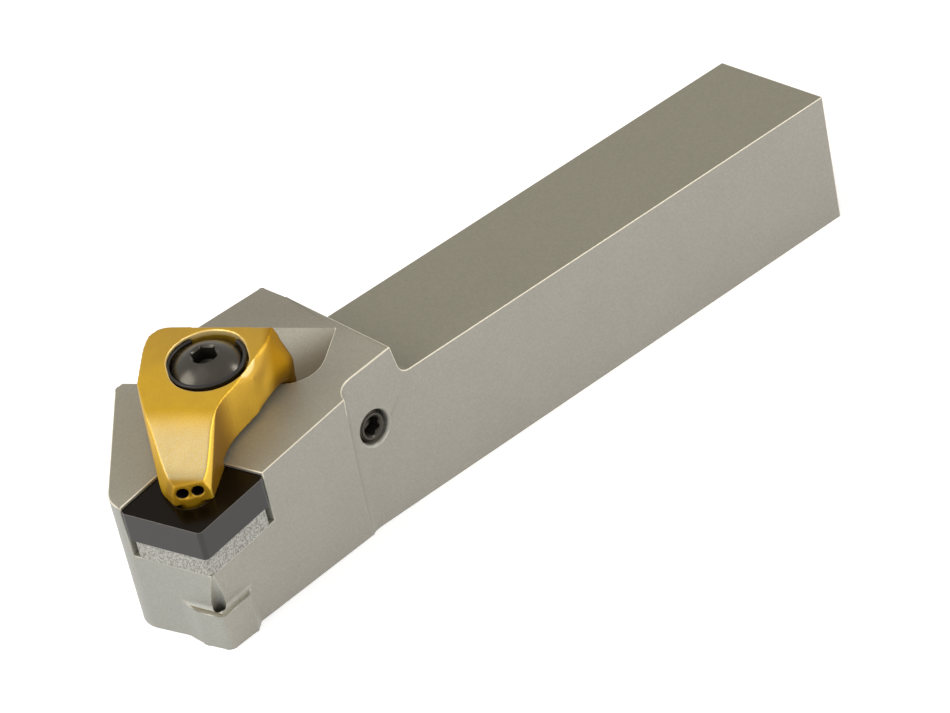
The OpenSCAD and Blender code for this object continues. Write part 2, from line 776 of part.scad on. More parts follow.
module clamp() {
    color(gold)
        clamp_frame() difference() {
            union() {
                clamp_body();
                clamp_pad();
                clamp_foot();
                translate([on_clamp(insert_middle).x + 0.1, on_clamp(insert_middle).y, -pin_depth])
                    cylinder(h = pin_depth + clamp_under, d = pin_diameter, $fn = round_fn);
            }
            clamp_screw_opening();
            clamp_channels();
            snap_ring_shape(snap_ring_wire + 0.06);
        }
}

module clamp_screw() {
    radius = screw_head / 2;
    dome_radius = (radius * radius + screw_dome * screw_dome) / (2 * screw_dome);
    color(black_steel)
        clamp_frame() translate([0, 0, screw_seat]) difference() {
            union() {
                intersection() {
                    translate([0, 0, 0.02]) cylinder(h = screw_rim + screw_dome + 1, r = radius, $fn = round_fn);
                    translate([0, 0, screw_rim + screw_dome - dome_radius])
                        sphere(r = dome_radius, $fn = round_fn);
                }
                translate([0, 0, -screw_length + 0.6])
                    cylinder(h = screw_length, d = screw_thread, $fn = round_fn);
                translate([0, 0, -screw_length])
                    cylinder(h = 0.6 + tiny, d1 = screw_thread - 1.2, d2 = screw_thread, $fn = round_fn);
            }
            translate([0, 0, screw_rim + screw_dome]) hex_socket(screw_socket, screw_socket_depth);
        }
}

module snap_ring() {
    color(black_steel) clamp_frame() snap_ring_shape(snap_ring_wire);
}

// Spring that lifts the clamp when the screw is slackened
module clamp_spring() {
    wire = spring_wire / 2;
    radius = spring_diameter / 2 - wire;
    low = -spring_pocket_depth + wire + 0.02;
    high = clamp_under - wire - 0.02;
    steps = 24;
    sides = 8;
    count = spring_turns * steps;
    // A closed tube along the helix
    points = [for (i = [0 : count]) let (a = 360 * i / steps, z = low + (high - low) * i / count)
              for (k = [0 : sides - 1]) let (b = 360 * k / sides, r = radius + wire * cos(b))
              [r * cos(a), r * sin(a), z + wire * sin(b)]];
    faces = [
        [for (k = [0 : sides - 1]) k],
        [for (k = [sides - 1 : -1 : 0]) count * sides + k],
        for (i = [0 : count - 1]) for (k = [0 : sides - 1])
            [i * sides + k, (i + 1) * sides + k, (i + 1) * sides + (k + 1) % sides, i * sides + (k + 1) % sides]];
    color(spring_steel) clamp_frame() polyhedron(points = points, faces = faces, convexity = 8);
}

// Ring that seals the coolant way between the head and the clamp
module seal_ring() {
    color(rubber)
        clamp_frame()
            translate([clamp_inlet.x, clamp_inlet.y, head_over_insert + 0.02 + seal_wire / 2])
                rotate_extrude($fn = round_fn)
                    translate([(seal_diameter - seal_wire) / 2, 0]) circle(d = seal_wire, $fn = 24);
}

// Plugs that close the drillings

module side_plug() {
    color(black_steel)
        translate([port_place.x, near_side + 0.4, side_plug_height]) rotate([90, 0, 0]) difference() {
            translate([0, 0, -side_plug_length])
                cylinder(h = side_plug_length, d = side_plug_thread - 2 * plug_clearance, $fn = round_fn);
            hex_socket(side_plug_socket, 2.2);
        }
}

module port_plug() {
    color(black_steel)
        translate([port_place.x, port_place.y, 0.3]) rotate([180, 0, 0]) difference() {
            translate([0, 0, -port_plug_length])
                cylinder(h = port_plug_length, d = inlet_bore - 2 * plug_clearance, $fn = round_fn);
            hex_socket(port_plug_socket, 3);
        }
}

holder_body();
insert();
shim();
shim_screw();
clamp();
clamp_screw();
snap_ring();
clamp_spring();
seal_ring();
side_plug();
port_plug();
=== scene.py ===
"""Looks of a turning tool holder with a clamp that pulls the insert back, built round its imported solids."""

import math
from collections import namedtuple
from functools import partial

import bmesh
import bpy
from bpy.props import FloatProperty, FloatVectorProperty, IntProperty, PointerProperty
from mathutils import Matrix, Vector


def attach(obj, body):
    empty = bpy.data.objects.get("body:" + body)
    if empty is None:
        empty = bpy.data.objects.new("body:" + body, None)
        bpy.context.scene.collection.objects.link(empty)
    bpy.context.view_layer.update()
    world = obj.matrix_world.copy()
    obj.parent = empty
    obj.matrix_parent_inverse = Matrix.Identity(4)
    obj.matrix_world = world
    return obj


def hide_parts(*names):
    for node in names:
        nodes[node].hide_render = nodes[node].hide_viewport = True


bl_info = {
    "name": "Turning tool holder looks",
    "version": (1, 0, 0),
    "blender": (4, 5, 0),
    "location": "3D View > Sidebar > Tool holder",
    "description": "Pieces, materials and studio of a turning tool holder",
    "category": "Object",
}

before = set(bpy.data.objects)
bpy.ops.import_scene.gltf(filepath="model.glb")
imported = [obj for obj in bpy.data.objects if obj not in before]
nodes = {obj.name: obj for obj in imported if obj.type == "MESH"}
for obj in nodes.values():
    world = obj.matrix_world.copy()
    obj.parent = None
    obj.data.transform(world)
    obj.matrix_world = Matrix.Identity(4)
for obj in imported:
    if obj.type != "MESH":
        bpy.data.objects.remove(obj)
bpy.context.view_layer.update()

MM = 0.001


# Places from the source of the solids, in millimetres and degrees

NOSE = Vector((-125.0, -15.0, 20.0))
RISE_BACK = math.radians(5.7)
RISE_SIDE = math.radians(4.9)
EDGE_TURN = math.radians(4.2)
BLUNT_CORNER = math.radians(100)
INSERT_EDGE = 12.7 / math.sin(math.radians(80))
INSERT_THICKNESS = 4.76
SHIM_SCREW_DEPTH = 0.1
SCREW_PLACE = Vector((19.6, 17.3, 0.0))
SCREW_SEAT = 4.6
CLAMP_TURN = math.radians(32.1)
COUNTERBORE_PLACE = Vector((-0.79, -0.56))
COUNTERBORE_RADIUS = 6.4
SLOT_TILT = math.radians(20)
SPRING_LOW = -4.5
SPRING_HIGH = 1.0
SPRING_GAP = 0.02


def scaled(matrix):
    """The same placing with its shift in metres, not millimetres."""
    metres = matrix.copy()
    metres.translation = matrix.translation * MM
    return metres


def placed(spot, degrees=0.0, axis="Z"):
    """A turn about an axis, then a move to a spot in millimetres."""
    return Matrix.Translation(Vector(spot) * MM) @ Matrix.Rotation(math.radians(degrees), 4, axis)


def edge_way(angle):
    """Direction of an edge of the insert in the plane of its cutting face."""
    return Vector((math.cos(angle), math.sin(angle), 0))


SEAT_MM = (Matrix.Translation(NOSE) @ Matrix.Rotation(-RISE_BACK, 4, "Y")
           @ Matrix.Rotation(RISE_SIDE, 4, "X"))
CLAMP_MM = SEAT_MM @ Matrix.Translation(SCREW_PLACE) @ Matrix.Rotation(CLAMP_TURN, 4, "Z")
PART = Matrix.Identity(4)
SEAT = scaled(SEAT_MM)
CLAMP = scaled(CLAMP_MM)
SIDE_PLUG = placed((-90, -9.6, 14.8), 90, "X")
PORT_PLUG = placed((-90, -4.5, 0.3), 180, "X")
INLET = placed((0, 0, 10), 90, "Y")
INSERT_MIDDLE = (edge_way(EDGE_TURN) + edge_way(EDGE_TURN + BLUNT_CORNER)) * INSERT_EDGE / 2


# Sizes and colours that a user would change

def linear(red, green, blue):
    """A photograph's colour, 0 to 255, as the linear values of Blender."""
    values = []
    for part in (red / 255, green / 255, blue / 255):
        values.append(part / 12.92 if part <= 0.04045 else ((part + 0.055) / 1.055) ** 2.4)
    return tuple(values)


def colour_of(name, what, red, green, blue):
    """A colour that a user can change."""
    return FloatVectorProperty(name=name, description="Colour of " + what, subtype="COLOR", size=3,
                               min=0, max=1, default=linear(red, green, blue))


def length_of(name, description, default, low, high):
    """A length that a user can change, given in millimetres."""
    return FloatProperty(name=name, description=description, unit="LENGTH", subtype="DISTANCE",
                         default=default * MM, min=low * MM, max=high * MM)


def power_of(name, what, default):
    """A lamp's power that a user can change."""
    return FloatProperty(name=name, description="Power of " + what, unit="POWER", default=default, min=0)


class SteelLooks(bpy.types.PropertyGroup):
    """Finish of the holder body, with painted light and shade on its faces"""
    colour: colour_of("Sides", "the steel on the sides", 143, 139, 129)
    # Painted light and shade: the tops and the head's top behind the slot are painted darker than the sides,
    # and the front cooler and lighter, as the light falls on them
    shank_top_shade_colour: colour_of("Shank top", "the ground top of the shank", 123, 118, 99)
    head_top_shade_colour: colour_of("Head top", "the milled top of the head", 139, 134, 118)
    behind_slot_shade_colour: colour_of("Head behind", "the head's top behind the slot", 124, 119, 104)
    front_light_colour: colour_of("Front", "the steel round the nose", 142, 141, 133)
    # The slot's floor: painted light at its open end, painted shade at its closed end
    slot_lit_colour: colour_of("Slot", "the slot's floor at its open end", 162, 157, 142)
    slot_end_shade_colour: colour_of("Slot end", "the slot's floor at its closed end", 107, 96, 74)
    # The broken edges are rubbed steel, painted lighter also as a painted highlight of the light along them
    edge_wear_and_highlight_colour: colour_of("Edges", "the rubbed edges", 205, 196, 175)
    low_edge_wear_and_highlight_colour: colour_of("Low edges", "the edges below the head's top", 150, 147, 136)
    edge_width: length_of("Edge width", "Width of the broken edges", 0.16, 0, 0.5)
    grain_size: length_of("Grain size", "Size of the grain that blasting leaves", 0.32, 0.05, 1)
    roughness: FloatProperty(
        name="Roughness", description="Roughness of the blasted steel", default=0.46, min=0, max=1)


class ClampLooks(bpy.types.PropertyGroup):
    """Shape and finish of the clamp, with its painted light and shade"""
    colour: colour_of("Coating", "the golden coating", 190, 148, 20)
    # Pale grain on the slope, painted brighter also as a painted highlight
    pale_grain_and_highlight_colour: colour_of("Pale grain", "the bright grain in the coating", 170, 157, 121)
    # The near side and the side of the nose are painted lighter: painted light
    near_side_light_colour: colour_of("Near side", "the coating on the near side", 224, 178, 56)
    heel_shade_colour: colour_of("Heel", "the top near the heel", 172, 133, 32)
    # The foot and the end of the foot are painted darker: painted shade
    foot_shade_colour: colour_of("Foot", "the coating on the foot", 148, 107, 7)
    tip_colour: colour_of("Tip", "the coating round the jets", 162, 122, 14)
    nose_side_light_colour: colour_of("Side of the nose", "the near side of the nose", 246, 204, 76)
    # The counterbore's wall is painted pale: a painted reflection
    wall_reflection_colour: colour_of("Counterbore", "the wall of the counterbore", 230, 200, 130)
    # The jets' bores are painted dark: painted shade in the holes
    bore_shade_colour: colour_of("Jet bores", "the inside of the jets", 24, 17, 8)
    foot_end_shade_colour: colour_of("Shaded foot end", "the coating on the end of the foot", 140, 98, 6)
    roughness: FloatProperty(
        name="Roughness", description="Roughness of the coating", default=0.42, min=0, max=1)
    voxel_size: length_of("Mesh size", "Size of the mesh that rounds the edges", 0.16, 0.12, 0.4)
    blend_reach: length_of("Blend", "Reach of the soft blend beside the foot", 5.6, 1, 8)
    blend_steps: IntProperty(
        name="Blend steps", description="Smoothing steps of the soft blend", default=420, min=0, max=800)
    edge_steps: IntProperty(
        name="Edge rounding", description="Smoothing steps that round the clamp's edges", default=5,
        min=1, max=20)


class CuttingLooks(bpy.types.PropertyGroup):
    """Finish of the insert and its shim"""
    top_colour: colour_of("Cutting face", "the coated cutting face", 16, 10, 3)
    flank_colour: colour_of("Flanks", "the insert's flanks", 26, 21, 16)
    # The honed edges are painted lighter: a painted highlight along them
    hone_and_highlight_colour: colour_of("Honed edges", "the honed cutting edges", 70, 64, 58)
    hone_width: length_of("Hone", "Width of the honed cutting edges", 0.07, 0.02, 0.2)
    shim_colour: colour_of("Shim", "the sintered shim", 160, 158, 150)
    shim_edge_width: length_of("Shim edges", "Width of the shim's broken edges", 0.08, 0.02, 0.2)
    speckle_size: length_of("Speckle size", "Size of the shim's speckles", 0.28, 0.05, 1)
    speckle_colour: colour_of("Speckles", "the shim's dark speckles", 110, 108, 100)


class ScrewLooks(bpy.types.PropertyGroup):
    """Threads and finish of the screws and plugs"""
    colour: colour_of("Black finish", "the blackened steel", 66, 62, 55)
    ring_width: length_of("Turned rings", "Distance between faint turned rings", 0.22, 0.05, 1)
    clamp_pitch: length_of("Clamp screw pitch", "Pitch of the clamp screw's thread", 1, 0.5, 1.5)
    small_pitch: length_of("Small pitch", "Pitch of the shim screw and the set screw", 0.8, 0.5, 1)
    pipe_pitch: length_of("Pipe pitch", "Pitch of the coolant inlet and the port plug", 0.907, 0.5, 1.5)


class SpringLooks(bpy.types.PropertyGroup):
    """Size and finish of the lifting spring, the snap ring and the seal ring"""
    wire: length_of("Wire", "Diameter of the spring's wire", 0.6, 0.4, 0.65)
    diameter: length_of("Diameter", "Outer diameter of the spring", 7.5, 7.4, 7.8)
    turns: FloatProperty(name="Turns", description="Turns of the spring", default=5, min=3, max=6)
    colour: colour_of("Spring steel", "the lifting spring", 122, 122, 124)
    # The snap ring is painted nearly black: painted shade in the gap round the screw's head
    snap_ring_shade_colour: colour_of("Snap ring", "the snap ring", 26, 23, 20)
    seal_colour: colour_of("Seal ring", "the seal ring's rubber", 28, 28, 29)


class StudioLooks(bpy.types.PropertyGroup):
    """Light and ground of the studio"""
    key_power: power_of("Key light", "the large lamp over the nose", 0.36)
    side_power: power_of("Side light", "the low lamp behind the rear end", 1.65)
    front_power: power_of("Front light", "the low lamp before the nose", 2.95)
    near_power: power_of("Near light", "the low lamp on the cutting side", 1.75)
    far_glint_power: power_of("Far glint", "the far lamp that glints on the screw", 2.9)
    rear_glint_power: power_of("Rear glint", "the rear lamp that glints on the screw", 0.87)
    sky_strength: FloatProperty(
        name="Sky", description="Strength of the even light from all round", default=0.6, min=0)
    floor_colour: FloatVectorProperty(
        name="Floor", description="Colour of the floor", subtype="COLOR", size=3, min=0, max=1,
        default=(0.9, 0.9, 0.9))


# Helpers for node trees

SOCKETS = {float: "NodeSocketFloat", int: "NodeSocketInt", tuple: "NodeSocketVector",
           type(None): "NodeSocketMaterial"}


def built_once(name, build):
    """The node group of a name, which a function builds at its first use."""
    if name not in bpy.data.node_groups:
        build(name)
    return bpy.data.node_groups[name]


def new_group(name, kind, inputs, outputs, output_kind="NodeSocketFloat"):
    """A node group, and what flows into and out of it. Each input is a name and a default value, and
    its lowest and highest value if it has them."""
    tree = bpy.data.node_groups.new(name, kind)
    for key, value, *limits in inputs:
        new = tree.interface.new_socket(name=key, in_out="INPUT", socket_type=SOCKETS[type(value)])
        if value is not None:
            new.default_value = value
        if limits:
            new.min_value, new.max_value = limits
    for key in outputs:
        tree.interface.new_socket(name=key, in_out="OUTPUT", socket_type=output_kind)
    return tree, tree.nodes.new("NodeGroupInput").outputs, tree.nodes.new("NodeGroupOutput").inputs


def feed(tree, inputs, values):
    """Feeds inputs, named or counted, from outputs, or sets them to numbers, vectors or colours."""
    for key, value in values.items():
        if isinstance(value, bpy.types.NodeSocket):
            tree.links.new(value, inputs[key])
        elif inputs[key].type == "RGBA":
            inputs[key].default_value = (*value[:3], 1)
        else:
            inputs[key].default_value = value


def added(tree, kind, inputs, **settings):
    """Adds a node with its settings and feeds its inputs."""
    node = tree.nodes.new(kind)
    for key, value in settings.items():
        setattr(node, key, value)
    feed(tree, node.inputs, inputs)
    return node


def maths(tree, operation, *values):
    """The result of a Math node."""
    return added(tree, "ShaderNodeMath", dict(enumerate(values)), operation=operation).outputs[0]


def vector_maths(tree, operation, *values):
    """The outputs of a Vector Math node."""
    return added(tree, "ShaderNodeVectorMath", dict(enumerate(values)), operation=operation).outputs


def ramped(tree, value, start, end):
    """A soft mask from 0 to 1 while a value goes from a start to an end."""
    inputs = {"Value": value, "From Min": start, "From Max": end}
    return added(tree, "ShaderNodeMapRange", inputs, interpolation_type="SMOOTHSTEP").outputs["Result"]


def noise(tree, place, size, detail, roughness):
    """Noise whose patches have a size."""
    inputs = {"Vector": place, "Scale": maths(tree, "DIVIDE", 1.0, size), "Detail": detail,
              "Roughness": roughness}
    return added(tree, "ShaderNodeTexNoise", inputs).outputs["Fac"]


# Shader node groups

def object_place(tree):
    """The place on the object, in its own coordinates."""
    return tree.nodes.new("ShaderNodeTexCoord").outputs["Object"]


def build_grain(name):
    """Even grain over soft clouds: what blasting, coating or blackening leaves on metal."""
    tree, inside, outside = new_group(name, "ShaderNodeTree", [
        ("Grain Size", 0.0002, 0.00001, 0.1), ("Grain Depth", 0.05, 0, 2),
        ("Cloud Size", 0.01, 0.0001, 1), ("Cloud Depth", 0.05, 0, 2)], ["Shade", "Height", "Clouds"])
    place = object_place(tree)
    grain = noise(tree, place, inside["Grain Size"], detail=2.5, roughness=0.6)
    clouds = noise(tree, place, inside["Cloud Size"], detail=3.0, roughness=0.55)
    shade = 1.0
    for pattern, depth in ((grain, "Grain Depth"), (clouds, "Cloud Depth")):
        shade = maths(tree, "MULTIPLY_ADD", maths(tree, "SUBTRACT", pattern, 0.5), inside[depth], shade)
    feed(tree, outside, {"Shade": shade, "Height": grain, "Clouds": clouds})


def build_speckles(name):
    """Bright and dark grains with clear borders, as in sintered metal or a coarse coating."""
    tree, inside, outside = new_group(name, "ShaderNodeTree", [
        ("Speckle Size", 0.0002, 0.00001, 0.1), ("Share", 0.5, 0, 1), ("Softness", 0.1, 0.001, 1)], ["Mask"])
    grains = noise(tree, object_place(tree), inside["Speckle Size"], detail=1.5, roughness=0.5)
    # The noise lies mostly between 0.3 and 0.7, so a larger share of speckles needs a lower threshold
    threshold = maths(tree, "MULTIPLY_ADD", inside["Share"], -0.4, 0.7)
    start = maths(tree, "SUBTRACT", threshold, inside["Softness"])
    end = maths(tree, "ADD", threshold, inside["Softness"])
    feed(tree, outside, {"Mask": ramped(tree, grains, start, end)})


def build_line(name):
    """Distance from a straight line, for bores and turned rings."""
    tree, inside, outside = new_group(name, "ShaderNodeTree", [("Point", (0, 0, 0)), ("Way", (0, 0, 1))],
                                      ["Distance"])
    off = vector_maths(tree, "SUBTRACT", object_place(tree), inside["Point"])["Vector"]
    across = vector_maths(tree, "CROSS_PRODUCT", off, inside["Way"])["Vector"]
    feed(tree, outside, {"Distance": vector_maths(tree, "LENGTH", across)["Value"]})


# Helpers for materials

# A grain's size and depth, and those of the soft clouds under it
Grain = namedtuple("Grain", "size depth cloud_size cloud_depth")
GRAIN_INPUTS = ("Grain Size", "Grain Depth", "Cloud Size", "Cloud Depth")


def placed_group(tree, name, build, inputs):
    """What flows out of a node group that is put into a material with its own values."""
    group = built_once(name, build)
    return added(tree, "ShaderNodeGroup", inputs, node_tree=group).outputs


def new_material(name):
    """A fresh material with the usual surface shader."""
    material = bpy.data.materials.new(name)
    material.use_nodes = True
    return material


def surface_of(material):
    """The inputs of a material's surface shader."""
    return material.node_tree.nodes["Principled BSDF"].inputs


def shaded(tree, colour, shade):
    """A colour made lighter and darker by a shade round 1."""
    return added(tree, "ShaderNodeMix", {"Factor": 1.0, 6: colour, 7: shade}, data_type="RGBA",
                 blend_type="MULTIPLY", clamp_result=False).outputs[2]


def mixed(tree, mask, first, second):
    """One colour going over into another by a mask."""
    return added(tree, "ShaderNodeMix", {"Factor": mask, 6: first, 7: second}, data_type="RGBA").outputs[2]


def grained(material, tone, grain, metallic, roughness, play=0.08, bump=0.25, bump_depth=0.012, rings=None):
    """Gives a material a grainy finish: its tone, roughness and surface vary with the grain. The depth
    of the bump is in millimetres, and rings are a height of their own over the grain."""
    tree = material.node_tree
    group = placed_group(tree, "Surface grain", build_grain, dict(zip(GRAIN_INPUTS, grain)))
    height = group["Height"]
    if rings is not None:
        height = maths(tree, "MULTIPLY_ADD", rings, 0.25, height)
    bumped = added(tree, "ShaderNodeBump", {
        "Strength": bump, "Distance": bump_depth * MM, "Height": height})
    feed(tree, surface_of(material), {
        "Base Color": shaded(tree, tone, group["Shade"]), "Metallic": metallic,
        "Roughness": maths(tree, "MULTIPLY_ADD", group["Clouds"], play, roughness - play / 2),
        "Normal": bumped.outputs["Normal"]})
    return material


def speckled(tree, size, share, softness):
    """A mask of speckles, with their size in metres."""
    inputs = {"Speckle Size": size, "Share": share, "Softness": softness}
    return placed_group(tree, "Speckles", build_speckles, inputs)["Mask"]


def facing_mask(tree, axes, way, start, end):
    """A mask from 0 to 1 for faces that look more and more along a direction of some axes."""
    normal = tree.nodes.new("ShaderNodeNewGeometry").outputs["True Normal"]
    way = axes.to_3x3() @ Vector(way).normalized()
    return ramped(tree, vector_maths(tree, "DOT_PRODUCT", normal, way)["Value"], start, end)


def place_mask(tree, axes, way, start, end):
    """A mask from 0 to 1 between two places along a direction of some axes, in millimetres."""
    way = axes.to_3x3() @ Vector(way).normalized()
    base = way.dot(axes.translation)
    along = vector_maths(tree, "DOT_PRODUCT", object_place(tree), way)["Value"]
    return ramped(tree, along, base + start * MM, base + end * MM)


def line_distance(tree, axes, point=(0, 0, 0), way=(0, 0, 1)):
    """Distance from a line of some axes, whose point is in millimetres."""
    inputs = {"Point": axes @ (Vector(point) * MM), "Way": axes.to_3x3() @ Vector(way).normalized()}
    return placed_group(tree, "Distance from a line", build_line, inputs)["Distance"]


# Helpers for meshes

def plain_mesh(name, shape):
    """A mesh from a bmesh, which is freed."""
    mesh = bpy.data.meshes.new(name)
    shape.to_mesh(mesh)
    shape.free()
    return mesh


def bare_object(name, mesh):
    """A new object of the scene at the origin."""
    item = bpy.data.objects.new(name, mesh)
    bpy.context.scene.collection.objects.link(item)
    return item


def finished(item):
    """The object with its modifiers applied to its mesh, and none left."""
    graph = bpy.context.evaluated_depsgraph_get()
    mesh = bpy.data.meshes.new_from_object(item.evaluated_get(graph), depsgraph=graph)
    item.modifiers.clear()
    old = item.data
    item.data = mesh
    mesh.name = item.name
    bpy.data.meshes.remove(old)
    return item


def applied(item, kind, **settings):
    """Applies a modifier with its settings."""
    modifier = item.modifiers.new(kind, kind)
    for key, value in settings.items():
        setattr(modifier, key, value)
    finished(item)


def merged_copy(name, node, materials, flatness=0.4):
    """A closed copy of a node's mesh, whose faces are joined where they are flat to some degrees."""
    shape = bmesh.new()
    shape.from_mesh(nodes[node].data)
    bmesh.ops.remove_doubles(shape, verts=shape.verts, dist=0.002 * MM)
    if flatness:
        bmesh.ops.dissolve_limit(shape, angle_limit=math.radians(flatness), verts=shape.verts,
                                 edges=shape.edges)
    mesh = plain_mesh(name, shape)
    for material in materials:
        mesh.materials.append(material)
    return bare_object(name, mesh)


def smooth_faces(mesh, sharp_from):
    """Smooth faces that meet sharply only over an angle, in degrees."""
    mesh.shade_smooth()
    mesh.set_sharp_from_angle(angle=math.radians(sharp_from))


def break_edges(item, width, shortest, steps=2, sharp_from=32, lean=20):
    """Bevels the sharp edges over a length, whose new faces take the piece's second material. Corners of
    flat faces that the bevel leaves leaning by more than some degrees are set upright."""
    shape = bmesh.new()
    shape.from_mesh(item.data)
    weight = shape.edges.layers.float.new("bevel_weight_edge")
    for edge in shape.edges:
        if edge.is_manifold and edge.is_convex and edge.calc_face_angle() > math.radians(sharp_from):
            if edge.calc_length() > shortest:
                edge[weight] = 1.0
    many_sided = [face for face in shape.faces if len(face.verts) > 4]
    bmesh.ops.triangulate(shape, faces=many_sided)
    shape.to_mesh(item.data)
    shape.free()
    applied(item, "BEVEL", limit_method="WEIGHT", width=width, segments=steps, use_clamp_overlap=False,
            material=1, miter_outer="MITER_SHARP")
    # The edges that stay sharp are the ones steeper than a step of the bevel
    smooth_faces(item.data, sharp_from=50)
    applied(item, "WEIGHTED_NORMAL", keep_sharp=True, weight=80)
    normals = [corner.vector.copy() for corner in item.data.corner_normals]
    for face in item.data.polygons:
        if face.material_index != 1:
            for corner in face.loop_indices:
                if normals[corner].angle(face.normal, 0) > math.radians(lean):
                    normals[corner] = face.normal.copy()
    item.data.normals_split_custom_set(normals)


def hexagon_radius(width, angle):
    """Distance from the middle of a hexagon to its outline at an angle."""
    turn = (angle + math.pi / 6) % (math.pi / 3) - math.pi / 6
    return width / 2 / math.cos(turn)


def turned_shape(name, outline, around):
    """A closed solid through rings in millimetres from one end to the other, each (radius, height), or
    (width across flats, height, HEX) for a hexagon."""
    shape = bmesh.new()
    loops = []
    angles = [2 * math.pi * step / around for step in range(around)]
    for size, height, *hexagon in outline:
        loop = []
        for angle in angles:
            radius = (hexagon_radius(size, angle) if hexagon else size) * MM
            loop.append(shape.verts.new((radius * math.cos(angle), radius * math.sin(angle), height * MM)))
        loops.append(loop)
    for lower, upper in zip(loops, loops[1:]):
        for step in range(around):
            after = (step + 1) % around
            shape.faces.new((lower[step], lower[after], upper[after], upper[step]))
    for loop in (loops[0], loops[-1]):
        centre = shape.verts.new((0, 0, loop[0].co.z))
        for step in range(around):
            shape.faces.new((loop[step], loop[(step + 1) % around], centre))
    bmesh.ops.recalc_face_normals(shape, faces=shape.faces)
    return plain_mesh(name, shape)


def joined(name, meshes, material, place):
    """One object at a place from several meshes that share one material."""
    shape = bmesh.new()
    for mesh in meshes:
        shape.from_mesh(mesh)
    mesh = plain_mesh(name, shape)
    mesh.materials.append(material)
    smooth_faces(mesh, sharp_from=30)
    mesh.transform(place)
    return bare_object(name, mesh)


# Geometry Nodes trees for what runs along a helix

def sweep(tree, inside, outside, curve, profile, scale=1.0):
    """Ends a tree with a profile swept along a curve, as real geometry with its material."""
    swept = added(tree, "GeometryNodeCurveToMesh", {"Curve": curve, "Profile Curve": profile,
                                                    "Scale": scale, "Fill Caps": True})
    real = added(tree, "GeometryNodeRealizeInstances", {"Geometry": swept.outputs["Mesh"]})
    dressed = added(tree, "GeometryNodeSetMaterial", {"Geometry": real.outputs["Geometry"],
                                                      "Material": inside["Material"]})
    feed(tree, outside, {"Geometry": dressed.outputs["Geometry"]})


def helix_curve(tree, turns, steps_per_turn, radius, height_at):
    """A curve round the Z axis whose height comes from the turn reached. Also gives the share reached."""
    calc = partial(maths, tree)
    count = calc("ADD", calc("ROUND", calc("MULTIPLY", turns, steps_per_turn)), 1.0)
    line = added(tree, "GeometryNodeMeshLine", {"Count": count}, mode="OFFSET")
    index = tree.nodes.new("GeometryNodeInputIndex").outputs[0]
    share = calc("DIVIDE", index, calc("SUBTRACT", count, 1.0))
    turn = calc("MULTIPLY", share, turns)
    angle = calc("MULTIPLY", turn, 2 * math.pi)
    place = added(tree, "ShaderNodeCombineXYZ", {
        "X": calc("MULTIPLY", calc("COSINE", angle), radius),
        "Y": calc("MULTIPLY", calc("SINE", angle), radius), "Z": height_at(turn)})
    move = added(tree, "GeometryNodeSetPosition", {"Geometry": line.outputs["Mesh"],
                                                   "Position": place.outputs[0]})
    curve = added(tree, "GeometryNodeMeshToCurve", {"Mesh": move.outputs["Geometry"]})
    return curve.outputs["Curve"], share


def build_thread(name):
    """A ridge along a helix, which stands out from a screw or inwards from a hole."""
    tree, inside, outside = new_group(name, "GeometryNodeTree", [
        ("Root Radius", 0.0024), ("Depth", 0.0006), ("Pitch", 0.001), ("Length", 0.01),
        ("Crest Width", 0.00012), ("Root Width", 0.0008), ("Steps per Turn", 40), ("Inwards", 0.0),
        ("Material", None)], ["Geometry"], "NodeSocketGeometry")
    calc = partial(maths, tree)

    def height_at(turn):
        return calc("MULTIPLY", turn, inside["Pitch"])

    turns = calc("DIVIDE", inside["Length"], inside["Pitch"])
    curve, share = helix_curve(tree, turns, inside["Steps per Turn"], inside["Root Radius"], height_at)
    upright = added(tree, "GeometryNodeSetCurveNormal", {"Curve": curve}, mode="Z_UP")
    # The ridge fades out over its first and last half turn
    near_end = calc("MINIMUM", share, calc("SUBTRACT", 1.0, share))
    fade = calc("MINIMUM", calc("MULTIPLY", calc("MULTIPLY", near_end, turns), 2.0), 1.0)
    fade = calc("MAXIMUM", fade, 0.02)
    profile = added(tree, "GeometryNodeCurvePrimitiveQuadrilateral", {
        "Bottom Width": inside["Root Width"], "Top Width": inside["Crest Width"], "Offset": 0.0,
        "Height": inside["Depth"]}, mode="TRAPEZOID")
    # Turned so that the crest points away from the axis, or towards it
    turn_by = calc("MULTIPLY_ADD", inside["Inwards"], math.pi, -math.pi / 2)
    spin = added(tree, "ShaderNodeCombineXYZ", {"Z": turn_by})
    side = calc("MULTIPLY_ADD", inside["Inwards"], -2.0, 1.0)
    shift = added(tree, "ShaderNodeCombineXYZ", {
        "X": calc("MULTIPLY", calc("MULTIPLY", inside["Depth"], 0.5), side)})
    lie = added(tree, "GeometryNodeTransform", {
        "Geometry": profile.outputs["Curve"], "Rotation": spin.outputs[0],
        "Translation": shift.outputs[0]})
    sweep(tree, inside, outside, upright.outputs["Curve"], lie.outputs["Geometry"], fade)


